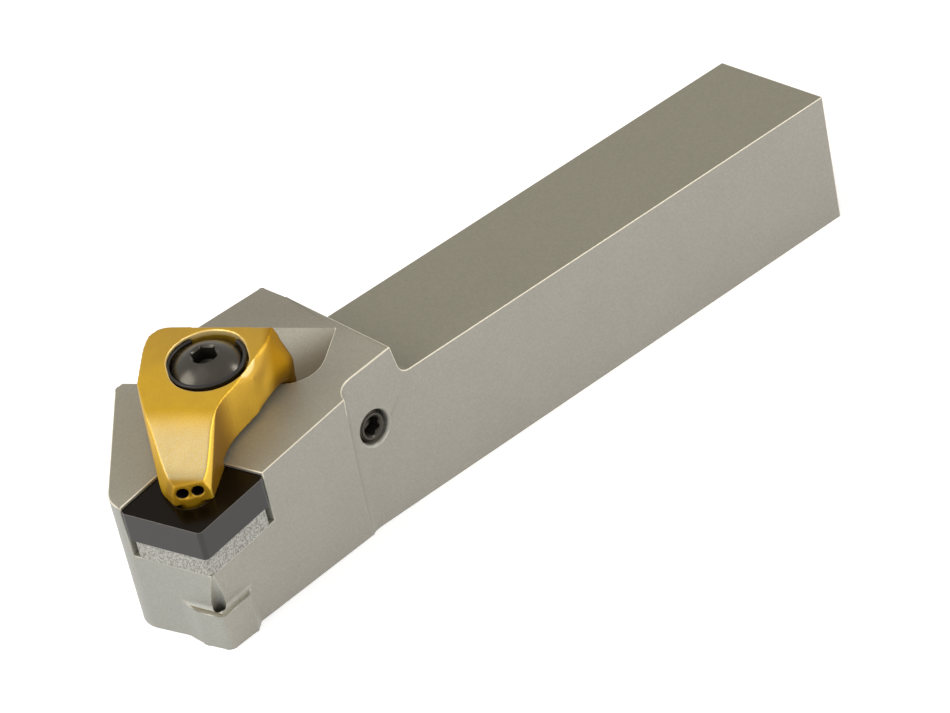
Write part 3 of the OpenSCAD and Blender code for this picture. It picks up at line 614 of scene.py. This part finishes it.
def build_coil(name):
    """A compression spring whose end turns lie close."""
    tree, inside, outside = new_group(name, "GeometryNodeTree", [
        ("Wire", 0.0006), ("Diameter", 0.0075), ("Height", 0.0055), ("Turns", 5.0), ("Steps per Turn", 48),
        ("Sides", 14), ("Material", None)], ["Geometry"], "NodeSocketGeometry")
    calc = partial(maths, tree)
    wire = inside["Wire"]
    turns = inside["Turns"]

    def height_at(turn):
        # The first and last turn rise by one wire, and the turns between share the rest
        first = calc("MULTIPLY", calc("MINIMUM", turn, 1.0), wire)
        before_last = calc("SUBTRACT", turn, calc("SUBTRACT", turns, 1.0))
        last = calc("MULTIPLY", calc("MAXIMUM", before_last, 0.0), wire)
        rest = calc("SUBTRACT", inside["Height"], calc("MULTIPLY", wire, 3.0))
        along = calc("DIVIDE", calc("SUBTRACT", turn, 1.0), calc("SUBTRACT", turns, 2.0))
        along = calc("MAXIMUM", calc("MINIMUM", along, 1.0), 0.0)
        middle = calc("MULTIPLY", along, rest)
        start = calc("DIVIDE", wire, 2.0)
        return calc("ADD", calc("ADD", first, last), calc("ADD", middle, start))

    radius = calc("DIVIDE", calc("SUBTRACT", inside["Diameter"], wire), 2.0)
    curve = helix_curve(tree, turns, inside["Steps per Turn"], radius, height_at)[0]
    circle = added(tree, "GeometryNodeCurvePrimitiveCircle", {
        "Resolution": inside["Sides"], "Radius": calc("DIVIDE", wire, 2.0)}, mode="RADIUS")
    sweep(tree, inside, outside, curve, circle.outputs["Curve"])


def grown(tree, values):
    """The plain mesh that a Geometry Nodes tree makes with these values."""
    carrier = bare_object("grown", bpy.data.meshes.new("grown"))
    modifier = carrier.modifiers.new("Geometry", "NODES")
    modifier.node_group = tree
    for item in tree.interface.items_tree:
        if item.name in values:
            modifier[item.identifier] = values[item.name]
    mesh = finished(carrier).data
    bpy.data.objects.remove(carrier)
    return mesh


def thread_mesh(material, pitch, root, depth, length, start, inwards=0.0):
    """A thread's ridge that begins at a height on its axis, in millimetres but for the pitch."""
    mesh = grown(built_once("Thread", build_thread), {
        "Root Radius": root * MM, "Depth": depth * MM, "Pitch": pitch, "Length": length * MM,
        "Crest Width": pitch * 0.12, "Root Width": pitch * 0.92, "Inwards": inwards,
        "Material": material})
    mesh.transform(Matrix.Translation((0, 0, start * MM)))
    return mesh


# Studio

IMAGE_WIDTH = 950
SENSOR_WIDTH = 36
FOCAL_LENGTH_IN_PIXELS = 5239.53
CAMERA_RIGHT = Vector((0.70960322, -0.68423561, -0.16818115))
CAMERA_UP = Vector((0.46989984, 0.28169836, 0.83656451))
CAMERA_BACK = Vector((-0.52503087, -0.67265716, 0.52141627))
CAMERA_PLACE = Vector((-0.44521512, -0.48948601, 0.38717173))
FLOOR_REACH = 3.0
FLOOR_GAP = 0.02 * MM
FLOOR_GLOW = 0.35

# Square lamps: name, place, target and size in metres. The last two glint on the screw's dome.
LAMPS = (
    ("key", (-0.42, 0.02, 0.75), (-0.09, 0, 0.01), 0.45),
    ("side", (0.5, -0.7, 0.25), (-0.08, 0, 0.01), 0.5),
    ("front", (-0.9, -0.05, 0.25), (-0.1, 0, 0.01), 0.5),
    ("near", (-0.1, -0.85, 0.2), (-0.1, 0, 0.02), 0.3),
    ("far_glint", (-0.66, 0.35, 0.57), (-0.105, 0, 0.03), 0.45),
    ("rear_glint", (0.42, -0.31, 0.52), (-0.105, 0, 0.03), 0.14),
)


def seen_white(tree):
    """A mask that is 1 for what the camera sees, directly, in a gloss or through glass."""
    path = tree.nodes.new("ShaderNodeLightPath")
    seen = maths(tree, "MAXIMUM", path.outputs["Is Camera Ray"], path.outputs["Is Glossy Ray"])
    return maths(tree, "MAXIMUM", seen, path.outputs["Is Transmission Ray"])


class TOOLHOLDER_OT_studio(bpy.types.Operator):
    """Make the camera, the lamps, the white surroundings and the floor"""
    bl_idname = "toolholder.studio"
    bl_label = "Studio"

    def execute(self, context):
        scene = context.scene
        looks = scene.toolholder_studio
        self.camera(scene)
        self.lamps(looks)
        self.surroundings(scene, looks)
        self.floor(looks)
        return {"FINISHED"}

    def camera(self, scene):
        camera = bpy.data.cameras.new("camera")
        camera.sensor_width = SENSOR_WIDTH
        camera.lens = SENSOR_WIDTH * FOCAL_LENGTH_IN_PIXELS / IMAGE_WIDTH
        camera.clip_start = 0.01
        camera.clip_end = 20
        item = bare_object("camera", camera)
        turn = Matrix((CAMERA_RIGHT, CAMERA_UP, CAMERA_BACK)).transposed().to_4x4()
        item.matrix_world = Matrix.Translation(CAMERA_PLACE) @ turn
        scene.camera = item
        scene.view_settings.view_transform = "Standard"

    def lamps(self, looks):
        for name, place, target, size in LAMPS:
            lamp = bpy.data.lights.new(name, "AREA")
            lamp.shape = "SQUARE"
            lamp.size = size
            lamp.energy = getattr(looks, name + "_power")
            turn = (Vector(target) - Vector(place)).to_track_quat("-Z", "Y").to_matrix().to_4x4()
            bare_object(name, lamp).matrix_world = Matrix.Translation(place) @ turn

    def surroundings(self, scene, looks):
        world = bpy.data.worlds.new("studio")
        scene.world = world
        world.use_nodes = True
        tree = world.node_tree
        sky = tree.nodes["Background"].inputs
        strength = maths(tree, "MULTIPLY_ADD", seen_white(tree), 1 - looks.sky_strength, looks.sky_strength)
        feed(tree, sky, {"Color": (1, 1, 1), "Strength": strength})

    def floor(self, looks):
        shape = bmesh.new()
        bmesh.ops.create_grid(shape, x_segments=2, y_segments=2, size=FLOOR_REACH,
                              matrix=Matrix.Translation((0, 0, -FLOOR_GAP)))
        floor = bare_object("floor", plain_mesh("floor", shape))
        material = new_material("floor")
        tree = material.node_tree
        feed(tree, surface_of(material), {
            "Base Color": looks.floor_colour, "Roughness": 0.9, "Specular IOR Level": 0.0,
            "Emission Color": (1, 1, 1),
            "Emission Strength": maths(tree, "MULTIPLY", seen_white(tree), FLOOR_GLOW)})
        floor.data.materials.append(material)


# Holder body

# Where one tone goes over into the next: a direction, then a start and an end in millimetres along it
SHANK = ((1, 0, 0), -85.6, -84.8)
BEHIND_SLOT = ((1, 1, 0), -66, -55)
ABOVE_SHANK = ((0, 0, 1), 22, 22.5)
SHADED_SLOT_END = ((0.865, 0.5, 0), 9.2, 2.6)
HEAD = ((-1, 0, 0), 84, 86)
BELOW_HEAD_TOP = ((0, 0, -1), -21.2, -20.4)

# Which faces have a tone: a direction, then the cosines at which the tone starts and is full. These tones are
# painted light and shade
TOPS = ((0, 0, 1), 0.6, 0.9)
FRONTS = ((-1, 0, 0), 0.3, 0.7)
SLOT_FLOOR = ((-math.sin(SLOT_TILT), 0, math.cos(SLOT_TILT)), 0.97, 0.995)


def steel_tone_with_painted_light(tree, looks):
    """The body's tone, with painted light and shade: the tops are painted darker than the sides, most on the
    shank and behind the slot, and the fronts cooler and lighter, as the light falls on them.
    """
    zone = partial(place_mask, tree, PART)
    tops = mixed(tree, zone(*SHANK), looks.head_top_shade_colour, looks.shank_top_shade_colour)
    behind = maths(tree, "MULTIPLY", zone(*BEHIND_SLOT), zone(*ABOVE_SHANK))
    tops = mixed(tree, behind, tops, looks.behind_slot_shade_colour)
    tone = mixed(tree, facing_mask(tree, PART, *TOPS), looks.colour, tops)
    tone = mixed(tree, facing_mask(tree, PART, *FRONTS), tone, looks.front_light_colour)
    # The slot's floor has painted light at its open end and painted shade at its closed end, where the slot's
    # walls keep the light off
    slot_light_and_shade = mixed(tree, place_mask(tree, CLAMP, *SHADED_SLOT_END), looks.slot_lit_colour, looks.slot_end_shade_colour)
    return mixed(tree, facing_mask(tree, CLAMP, *SLOT_FLOOR), tone, slot_light_and_shade)


def edge_wear_and_highlight_tone(tree, looks):
    """The tone of the body's broken edges: rubbed steel, painted lighter also as a painted highlight, and
    painted dimmer below the head's top.
    """
    low = maths(tree, "MULTIPLY", place_mask(tree, PART, *HEAD), place_mask(tree, PART, *BELOW_HEAD_TOP))
    return mixed(tree, low, looks.edge_wear_and_highlight_colour, looks.low_edge_wear_and_highlight_colour)


class TOOLHOLDER_OT_body(bpy.types.Operator):
    """Make the holder body with its broken edges and blasted finish"""
    bl_idname = "toolholder.body"
    bl_label = "Holder body"

    def execute(self, context):
        looks = context.scene.toolholder_steel
        grain = Grain(looks.grain_size, depth=0.42, cloud_size=9 * MM, cloud_depth=0.12)
        steel = new_material("blasted steel")
        grained(steel, steel_tone_with_painted_light(steel.node_tree, looks), grain, metallic=0.3, roughness=looks.roughness)
        # The edges' material holds both the rubbed steel and a painted highlight
        rubbed_and_highlit = new_material("rubbed steel edge")
        grained(rubbed_and_highlit, edge_wear_and_highlight_tone(rubbed_and_highlit.node_tree, looks), grain, metallic=0.4, roughness=0.36)
        item = merged_copy("holder_body_finish", "holder_body", [steel, rubbed_and_highlit])
        break_edges(item, looks.edge_width, shortest=0.35 * MM)
        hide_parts("holder_body")
        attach(item, "holder")
        return {"FINISHED"}


# Clamp, with places in millimetres of its own axes

# Where one tone goes over into the next
HEEL = ((1, 0, 0), -6, 6)
SIDE_OF_NOSE = ((-1, 0, 0), 9, 13)
FOOT = ((0.2, -1, 0), 7.3, 8.9)
SLOPE = ((-1, 0, 0), 10.4, 15)
TIP = ((-1, 0, 0), 18.6, 19.6)
JET_ENDS = ((-1, 0, 0), 17, 18)
COUNTERBORE_WALL = ((0, 0, 1), 7.2, 7.6)

# Which faces have a tone: the end of the foot by a direction of the part
TOP_OF_CLAMP = ((-0.2, 0, 1), 0.75, 0.92)
NEAR_SIDE = ((-0.2, -1, 0), 0.6, 0.9)
END_OF_FOOT = ((1, -0.9, 0), 0.72, 0.97)

# The mouth of each jet, the way of its bore, and the soft rims of the bores and counterbore
JETS = (((-20.155, -0.805, 1.85), (-13.155, -1.355, -1.15)),
        ((-19.535, -2.759, 1.85), (-12.535, -2.809, -1.15)))
JET_RADIUS = 0.8
JET_RIM = 0.08
WALL_RIM = 0.2

# The blasted grain, how pale the slope is painted between its bright grains, partly as a painted highlight,
# and what the grains add
CLAMP_GRAIN = 0.16 * MM
SLOPE_SHARE = 0.52
SPECKLE_SHARE = 0.42

# How metallic the coating is, and what the thinner coating of the foot adds
COAT_METALLIC = 0.6
FOOT_METALLIC = 0.36

# The wedge that fills the hollow between the near side and the end of the foot, and its soft blend
FOOT_WEDGE = ((4.2, -10.0, 3.5), (4.2, -9.75, 1.1), (4.2, -8.72, 6.5), (4.2, -8.15, 7.9), (-5, -5.97, 3.6),
              (-5, -5.97, 1), (1.2, -7.5, 7.2), (4.2, -6.5, 1.1), (4.2, -6.5, 7.8))
BLEND_MIDDLE = Vector((1.8, -9.0, 3.3))
BLEND_RIM = 0.5


def clamp_tone(tree, looks, foot):
    """The clamp's tone with its painted light and shade, with a mask of its foot."""
    mix = partial(mixed, tree)
    zone = partial(place_mask, tree, CLAMP)
    both = partial(maths, tree, "MULTIPLY")
    upper = facing_mask(tree, CLAMP, *TOP_OF_CLAMP)
    # The near side is painted lighter, more towards the nose, as painted light where it catches more light,
    # and the end of the foot is painted darker as painted shade
    # The top is painted darker towards the heel: painted shade for the dark that the heel reflects
    tone = mix(zone(*HEEL), looks.colour, looks.heel_shade_colour)
    side = mix(zone(*SIDE_OF_NOSE), looks.near_side_light_colour, looks.nose_side_light_colour)
    tone = mix(facing_mask(tree, CLAMP, *NEAR_SIDE), tone, side)
    tone = mix(facing_mask(tree, PART, *END_OF_FOOT), tone, looks.foot_end_shade_colour)
    # The foot is painted darker: painted shade where it faces away from the light
    tone = mix(foot, tone, looks.foot_shade_colour)
    # The slope towards the nose is painted pale, partly blasted grain with coarse bright grains and partly a
    # painted highlight
    slope = both(zone(*SLOPE), upper)
    speckles = speckled(tree, CLAMP_GRAIN, share=0.4, softness=0.14)
    pale = both(maths(tree, "MULTIPLY_ADD", speckles, SPECKLE_SHARE, SLOPE_SHARE), slope)
    tone = mix(pale, tone, looks.pale_grain_and_highlight_colour)
    # The counterbore's wall is painted pale as a painted reflection, and the bores of the jets are painted
    # dark as painted shade
    off_middle = line_distance(tree, CLAMP, (*COUNTERBORE_PLACE, 0))
    wall = ramped(tree, off_middle, (COUNTERBORE_RADIUS + WALL_RIM) * MM, COUNTERBORE_RADIUS * MM)
    wall = both(wall, maths(tree, "SUBTRACT", 1.0, upper))
    wall = both(wall, zone(*COUNTERBORE_WALL))
    tone = mix(wall, tone, looks.wall_reflection_colour)
    tone = mix(zone(*TIP), tone, looks.tip_colour)
    # Painted shade inside the bore of each jet
    for mouth, way in JETS:
        off_middle = line_distance(tree, CLAMP, mouth, way)
        bore = ramped(tree, off_middle, (JET_RADIUS + JET_RIM) * MM, JET_RADIUS * MM)
        bore = both(bore, zone(*JET_ENDS))
        tone = mix(bore, tone, looks.bore_shade_colour)
    return tone


class TOOLHOLDER_OT_clamp(bpy.types.Operator):
    """Make the golden clamp with its soft edges"""
    bl_idname = "toolholder.clamp"
    bl_label = "Clamp"

    def execute(self, context):
        looks = context.scene.toolholder_clamp
        gold = new_material("golden coating")
        tree = gold.node_tree
        foot = place_mask(tree, CLAMP, *FOOT)
        metallic = maths(tree, "MULTIPLY_ADD", foot, FOOT_METALLIC, COAT_METALLIC)
        grain = Grain(CLAMP_GRAIN, depth=0.35, cloud_size=3 * MM, cloud_depth=0.25)
        grained(gold, clamp_tone(tree, looks, foot), grain, metallic, looks.roughness, play=0.12, bump=0.45,
                bump_depth=0.02)
        item = merged_copy("clamp_finish", "clamp", [], flatness=0)
        self.fill_hollow(item)
        applied(item, "REMESH", mode="VOXEL", voxel_size=looks.voxel_size, use_smooth_shade=True)
        applied(item, "SMOOTH", factor=0.5, iterations=looks.edge_steps)
        self.blend_hollow(item, looks)
        item.data.materials.append(gold)
        item.data.shade_smooth()
        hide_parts("clamp")
        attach(item, "clamp_unit")
        return {"FINISHED"}

    def fill_hollow(self, item):
        """Adds the wedge beside the foot, which the remesh joins to it."""
        shape = bmesh.new()
        shape.from_mesh(item.data)
        corners = [shape.verts.new(CLAMP @ (Vector(corner) * MM)) for corner in FOOT_WEDGE]
        bmesh.ops.convex_hull(shape, input=corners)
        shape.to_mesh(item.data)
        shape.free()

    def blend_hollow(self, item, looks):
        """Smooths the filled hollow more, but not the counterbore beside it."""
        group = item.vertex_groups.new(name="Beside the foot")
        to_clamp = CLAMP.inverted()
        for vertex in item.data.vertices:
            place = to_clamp @ vertex.co
            share = 2 - 2 * (place - BLEND_MIDDLE * MM).length / looks.blend_reach
            off_wall = (place.xy - COUNTERBORE_PLACE * MM).length / MM - COUNTERBORE_RADIUS
            share = min(1, share, off_wall / BLEND_RIM)
            if share > 0:
                group.add([vertex.index], share, "REPLACE")
        applied(item, "SMOOTH", vertex_group=group.name, factor=0.5, iterations=looks.blend_steps)
        item.vertex_groups.clear()


# Screws and plugs: outlines in millimetres from the tip to the floor of the socket

HEX = "hexagon"
SHIM_SCREW_OUTLINE = (
    (1.6, -12.0), (2.05, -11.5), (2.05, -3.2), (2.5, -2.5), (3.62, -0.1), (3.6, 0), (1.9, 0), (1.75, -0.1),
    (3.0, -0.3, HEX), (3.0, -2.0, HEX), (1.3, -2.05), (0.3, -2.4))
SIDE_PLUG_OUTLINE = (
    (1.5, -5.0), (2.05, -4.55), (2.06, -0.4), (1.95, -0.05), (1.88, 0), (1.62, -0.04), (1.42, -0.25),
    (2.5, -0.5, HEX), (2.5, -2.2, HEX), (1.1, -2.25), (0.3, -2.5))
PORT_PLUG_OUTLINE = (
    (3.4, -5.5), (3.95, -5.0), (3.95, -0.5), (3.75, 0), (3.2, 0), (3.05, -0.15), (5.0, -0.4, HEX),
    (5.0, -3.0, HEX), (2.3, -3.05), (0.3, -3.5))

# The ridge of each thread: root radius, depth, length and start
CLAMP_SCREW_RIDGE = (2.36, 0.62, 19.2, -21.5)
SHIM_SCREW_RIDGE = (2.02, 0.47, 8.4, -11.6)
SIDE_PLUG_RIDGE = (2.03, 0.42, 4.6, -4.7)
PORT_PLUG_RIDGE = (3.92, 0.44, 5.0, -5.3)
INLET_RIDGE = (4.43, 0.34, 9.6, -10.4)

# The head of the clamp screw: its radius, the height of its rim, the rise of its dome and its socket
HEAD_RADIUS = 4.85
RIM_HEIGHT = 2.5
DOME_RISE = 1.9
DOME_RADIUS = (HEAD_RADIUS ** 2 + DOME_RISE ** 2) / (2 * DOME_RISE)
DOME_START = 4.76
DOME_END = 2.2
DOME_STEPS = 14
SOCKET_RIM = 1.9
SOCKET_WIDTH = 3.2
SOCKET_DEPTH = 2.6


def dome_height(reach):
    """Height of the clamp screw's dome at a distance from its axis."""
    return RIM_HEIGHT + DOME_RISE - DOME_RADIUS + math.sqrt(DOME_RADIUS ** 2 - reach ** 2)


def clamp_screw_outline():
    """The clamp screw's tip, shank, domed head and socket."""
    outline = [(1.7, -22.0), (2.4, -21.35), (2.4, -2.2), (2.95, -1.7), (2.95, -0.05), (3.1, 0.02),
               (4.65, 0.02), (HEAD_RADIUS, 0.2), (HEAD_RADIUS, RIM_HEIGHT - 0.08), (4.82, RIM_HEIGHT + 0.04)]
    for step in range(1, DOME_STEPS + 1):
        reach = DOME_START + (DOME_END - DOME_START) * step / DOME_STEPS
        outline.append((reach, dome_height(reach)))
    top = RIM_HEIGHT + DOME_RISE
    outline += [(2.02, dome_height(2.02) - 0.02), (SOCKET_RIM, dome_height(SOCKET_RIM) - 0.12),
                (SOCKET_WIDTH, dome_height(SOCKET_RIM) - 0.35, HEX), (SOCKET_WIDTH, top - SOCKET_DEPTH, HEX),
                (1.45, top - SOCKET_DEPTH - 0.06), (0.3, top - SOCKET_DEPTH - 0.5)]
    return outline


def black_finish(name, looks, roughness, axes):
    """Blackened steel with faint turned rings round the Z axis of some axes."""
    material = new_material(name)
    tree = material.node_tree
    turns = maths(tree, "MULTIPLY", line_distance(tree, axes), math.tau / looks.ring_width)
    grain = Grain(0.12 * MM, depth=0.3, cloud_size=1.6 * MM, cloud_depth=0.3)
    return grained(material, looks.colour, grain, metallic=0.8, roughness=roughness, play=0.1,
                   bump_depth=0.008, rings=maths(tree, "SINE", turns))


def threaded(name, outline, ridge, pitch, black, place, around=96):
    """A turned screw or plug with its thread."""
    core = turned_shape(name + "_core", outline, around)
    return joined(name, [core, thread_mesh(black, pitch, *ridge)], black, place)


class TOOLHOLDER_OT_screws(bpy.types.Operator):
    """Make the clamp screw, the shim screw, the set screw, the port plug and their threads"""
    bl_idname = "toolholder.screws"
    bl_label = "Screws and plugs"

    def execute(self, context):
        looks = context.scene.toolholder_screws
        black = black_finish("turned black steel", looks, 0.24, CLAMP)
        item = threaded("clamp_screw_turned", clamp_screw_outline(), CLAMP_SCREW_RIDGE, looks.clamp_pitch,
                        black, CLAMP @ placed((0, 0, SCREW_SEAT)))
        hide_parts("clamp_screw")
        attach(item, "screw")

        black = black_finish("blackened steel", looks, 0.34, SIDE_PLUG)
        head = INSERT_MIDDLE - Vector((0, 0, INSERT_THICKNESS + SHIM_SCREW_DEPTH))
        item = threaded("shim_screw_turned", SHIM_SCREW_OUTLINE, SHIM_SCREW_RIDGE, looks.small_pitch, black,
                        SEAT @ placed(head))
        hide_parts("shim_screw")
        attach(item, "holder")

        item = threaded("side_plug_turned", SIDE_PLUG_OUTLINE, SIDE_PLUG_RIDGE, looks.small_pitch, black,
                        SIDE_PLUG, around=72)
        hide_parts("side_plug")
        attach(item, "holder")

        item = threaded("port_plug_turned", PORT_PLUG_OUTLINE, PORT_PLUG_RIDGE, looks.pipe_pitch, black,
                        PORT_PLUG)
        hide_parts("port_plug")
        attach(item, "holder")
        return {"FINISHED"}


class TOOLHOLDER_OT_inlet(bpy.types.Operator):
    """Make the pipe thread in the coolant inlet"""
    bl_idname = "toolholder.inlet"
    bl_label = "Inlet thread"

    def execute(self, context):
        looks = context.scene.toolholder_screws
        steel = bpy.data.materials.get("blasted steel")
        if steel is None:
            raise RuntimeError("Make the holder body first: the thread takes its steel")
        mesh = thread_mesh(steel, looks.pipe_pitch, *INLET_RIDGE, inwards=1.0)
        item = joined("inlet_thread", [mesh], steel, INLET)
        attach(item, "holder")
        return {"FINISHED"}


# Springs and rings

class TOOLHOLDER_OT_spring(bpy.types.Operator):
    """Make the lifting spring, and give the snap ring and the seal ring their materials"""
    bl_idname = "toolholder.spring"
    bl_label = "Spring and rings"

    def execute(self, context):
        looks = context.scene.toolholder_spring
        grain = Grain(0.1 * MM, depth=0.2, cloud_size=MM, cloud_depth=0.2)
        wire = grained(new_material("spring wire"), looks.colour, grain, metallic=0.9, roughness=0.3)
        low = SPRING_LOW + SPRING_GAP
        mesh = grown(built_once("Coil spring", build_coil), {
            "Wire": looks.wire, "Diameter": looks.diameter, "Height": (SPRING_HIGH - SPRING_GAP - low) * MM,
            "Turns": looks.turns, "Material": wire})
        item = joined("clamp_spring_coil", [mesh], wire, CLAMP @ placed((0, 0, low)))
        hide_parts("clamp_spring")
        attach(item, "clamp_unit")

        # The snap ring is painted nearly black as painted shade in the gap round the screw's head
        dark = grained(new_material("dark spring steel"), looks.snap_ring_shade_colour, grain, metallic=0.3,
                       roughness=0.4)
        nodes["snap_ring"].material_slots[0].material = dark
        grain = Grain(0.15 * MM, depth=0.3, cloud_size=MM, cloud_depth=0.2)
        rubber = grained(new_material("seal rubber"), looks.seal_colour, grain, metallic=0.0,
                         roughness=0.575, play=0.15, bump=0.2, bump_depth=0.01)
        nodes["seal_ring"].material_slots[0].material = rubber
        return {"FINISHED"}


# Insert and shim

class TOOLHOLDER_OT_cutting(bpy.types.Operator):
    """Make the insert with its honed edges, and the speckled shim"""
    bl_idname = "toolholder.cutting"
    bl_label = "Insert and shim"

    def execute(self, context):
        self.insert(context.scene.toolholder_cutting)
        self.shim(context.scene.toolholder_cutting)
        return {"FINISHED"}

    def insert(self, looks):
        grain = Grain(0.1 * MM, depth=0.25, cloud_size=2.5 * MM, cloud_depth=0.25)
        top = grained(new_material("coated cutting face"), looks.top_colour, grain, metallic=0.0,
                      roughness=0.2, bump=0.1, bump_depth=0.004)
        surface_of(top)["Specular IOR Level"].default_value = 0.06
        # The honed edges are painted lighter as a painted highlight
        honed = grained(new_material("honed edge"), looks.hone_and_highlight_colour, grain, metallic=0.1, roughness=0.34)
        flank = grained(new_material("coated flank"), looks.flank_colour, grain, metallic=0.0,
                        roughness=0.36, bump=0.12, bump_depth=0.006)
        item = merged_copy("insert_finish", "insert", [top, honed, flank])
        upwards = SEAT.to_3x3() @ Vector((0, 0, 1))
        for face in item.data.polygons:
            face.material_index = 0 if abs(face.normal.dot(upwards)) > 0.9 else 2
        break_edges(item, looks.hone_width, shortest=0.05 * MM, steps=3)
        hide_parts("insert")
        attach(item, "holder")

    def shim(self, looks):
        sinter = new_material("sintered shim")
        tree = sinter.node_tree
        speckles = speckled(tree, looks.speckle_size, share=0.45, softness=0.12)
        tone = mixed(tree, speckles, looks.shim_colour, looks.speckle_colour)
        grain = Grain(looks.speckle_size, depth=0.5, cloud_size=2 * MM, cloud_depth=0.15)
        grained(sinter, tone, grain, metallic=0.2, roughness=0.5, play=0.1, bump=0.35, bump_depth=0.02)
        item = merged_copy("shim_finish", "shim", [sinter, sinter])
        break_edges(item, looks.shim_edge_width, shortest=0.05 * MM)
        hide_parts("shim")
        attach(item, "holder")


class TOOLHOLDER_PT_looks(bpy.types.Panel):
    """Lists what makes up the tool holder's looks"""
    bl_idname = "TOOLHOLDER_PT_looks"
    bl_label = "Tool holder"
    bl_space_type = "VIEW_3D"
    bl_region_type = "UI"
    bl_category = "Tool holder"

    def draw(self, context):
        for operator in OPERATORS:
            self.layout.operator(operator.bl_idname)


LOOKS = {
    "toolholder_steel": SteelLooks,
    "toolholder_clamp": ClampLooks,
    "toolholder_cutting": CuttingLooks,
    "toolholder_screws": ScrewLooks,
    "toolholder_spring": SpringLooks,
    "toolholder_studio": StudioLooks,
}

OPERATORS = (
    TOOLHOLDER_OT_studio,
    TOOLHOLDER_OT_body,
    TOOLHOLDER_OT_clamp,
    TOOLHOLDER_OT_cutting,
    TOOLHOLDER_OT_screws,
    TOOLHOLDER_OT_inlet,
    TOOLHOLDER_OT_spring,
)

CLASSES = (*LOOKS.values(), *OPERATORS, TOOLHOLDER_PT_looks)


def register():
    for kind in CLASSES:
        bpy.utils.register_class(kind)
    for key, group in LOOKS.items():
        setattr(bpy.types.Scene, key, PointerProperty(type=group))


def unregister():
    for key in LOOKS:
        delattr(bpy.types.Scene, key)
    for kind in reversed(CLASSES):
        bpy.utils.unregister_class(kind)


def main():
    register()
    bpy.ops.toolholder.studio()
    bpy.ops.toolholder.body()
    bpy.ops.toolholder.clamp()
    bpy.ops.toolholder.cutting()
    bpy.ops.toolholder.screws()
    bpy.ops.toolholder.inlet()
    bpy.ops.toolholder.spring()


if __name__ == "__main__":
    main()
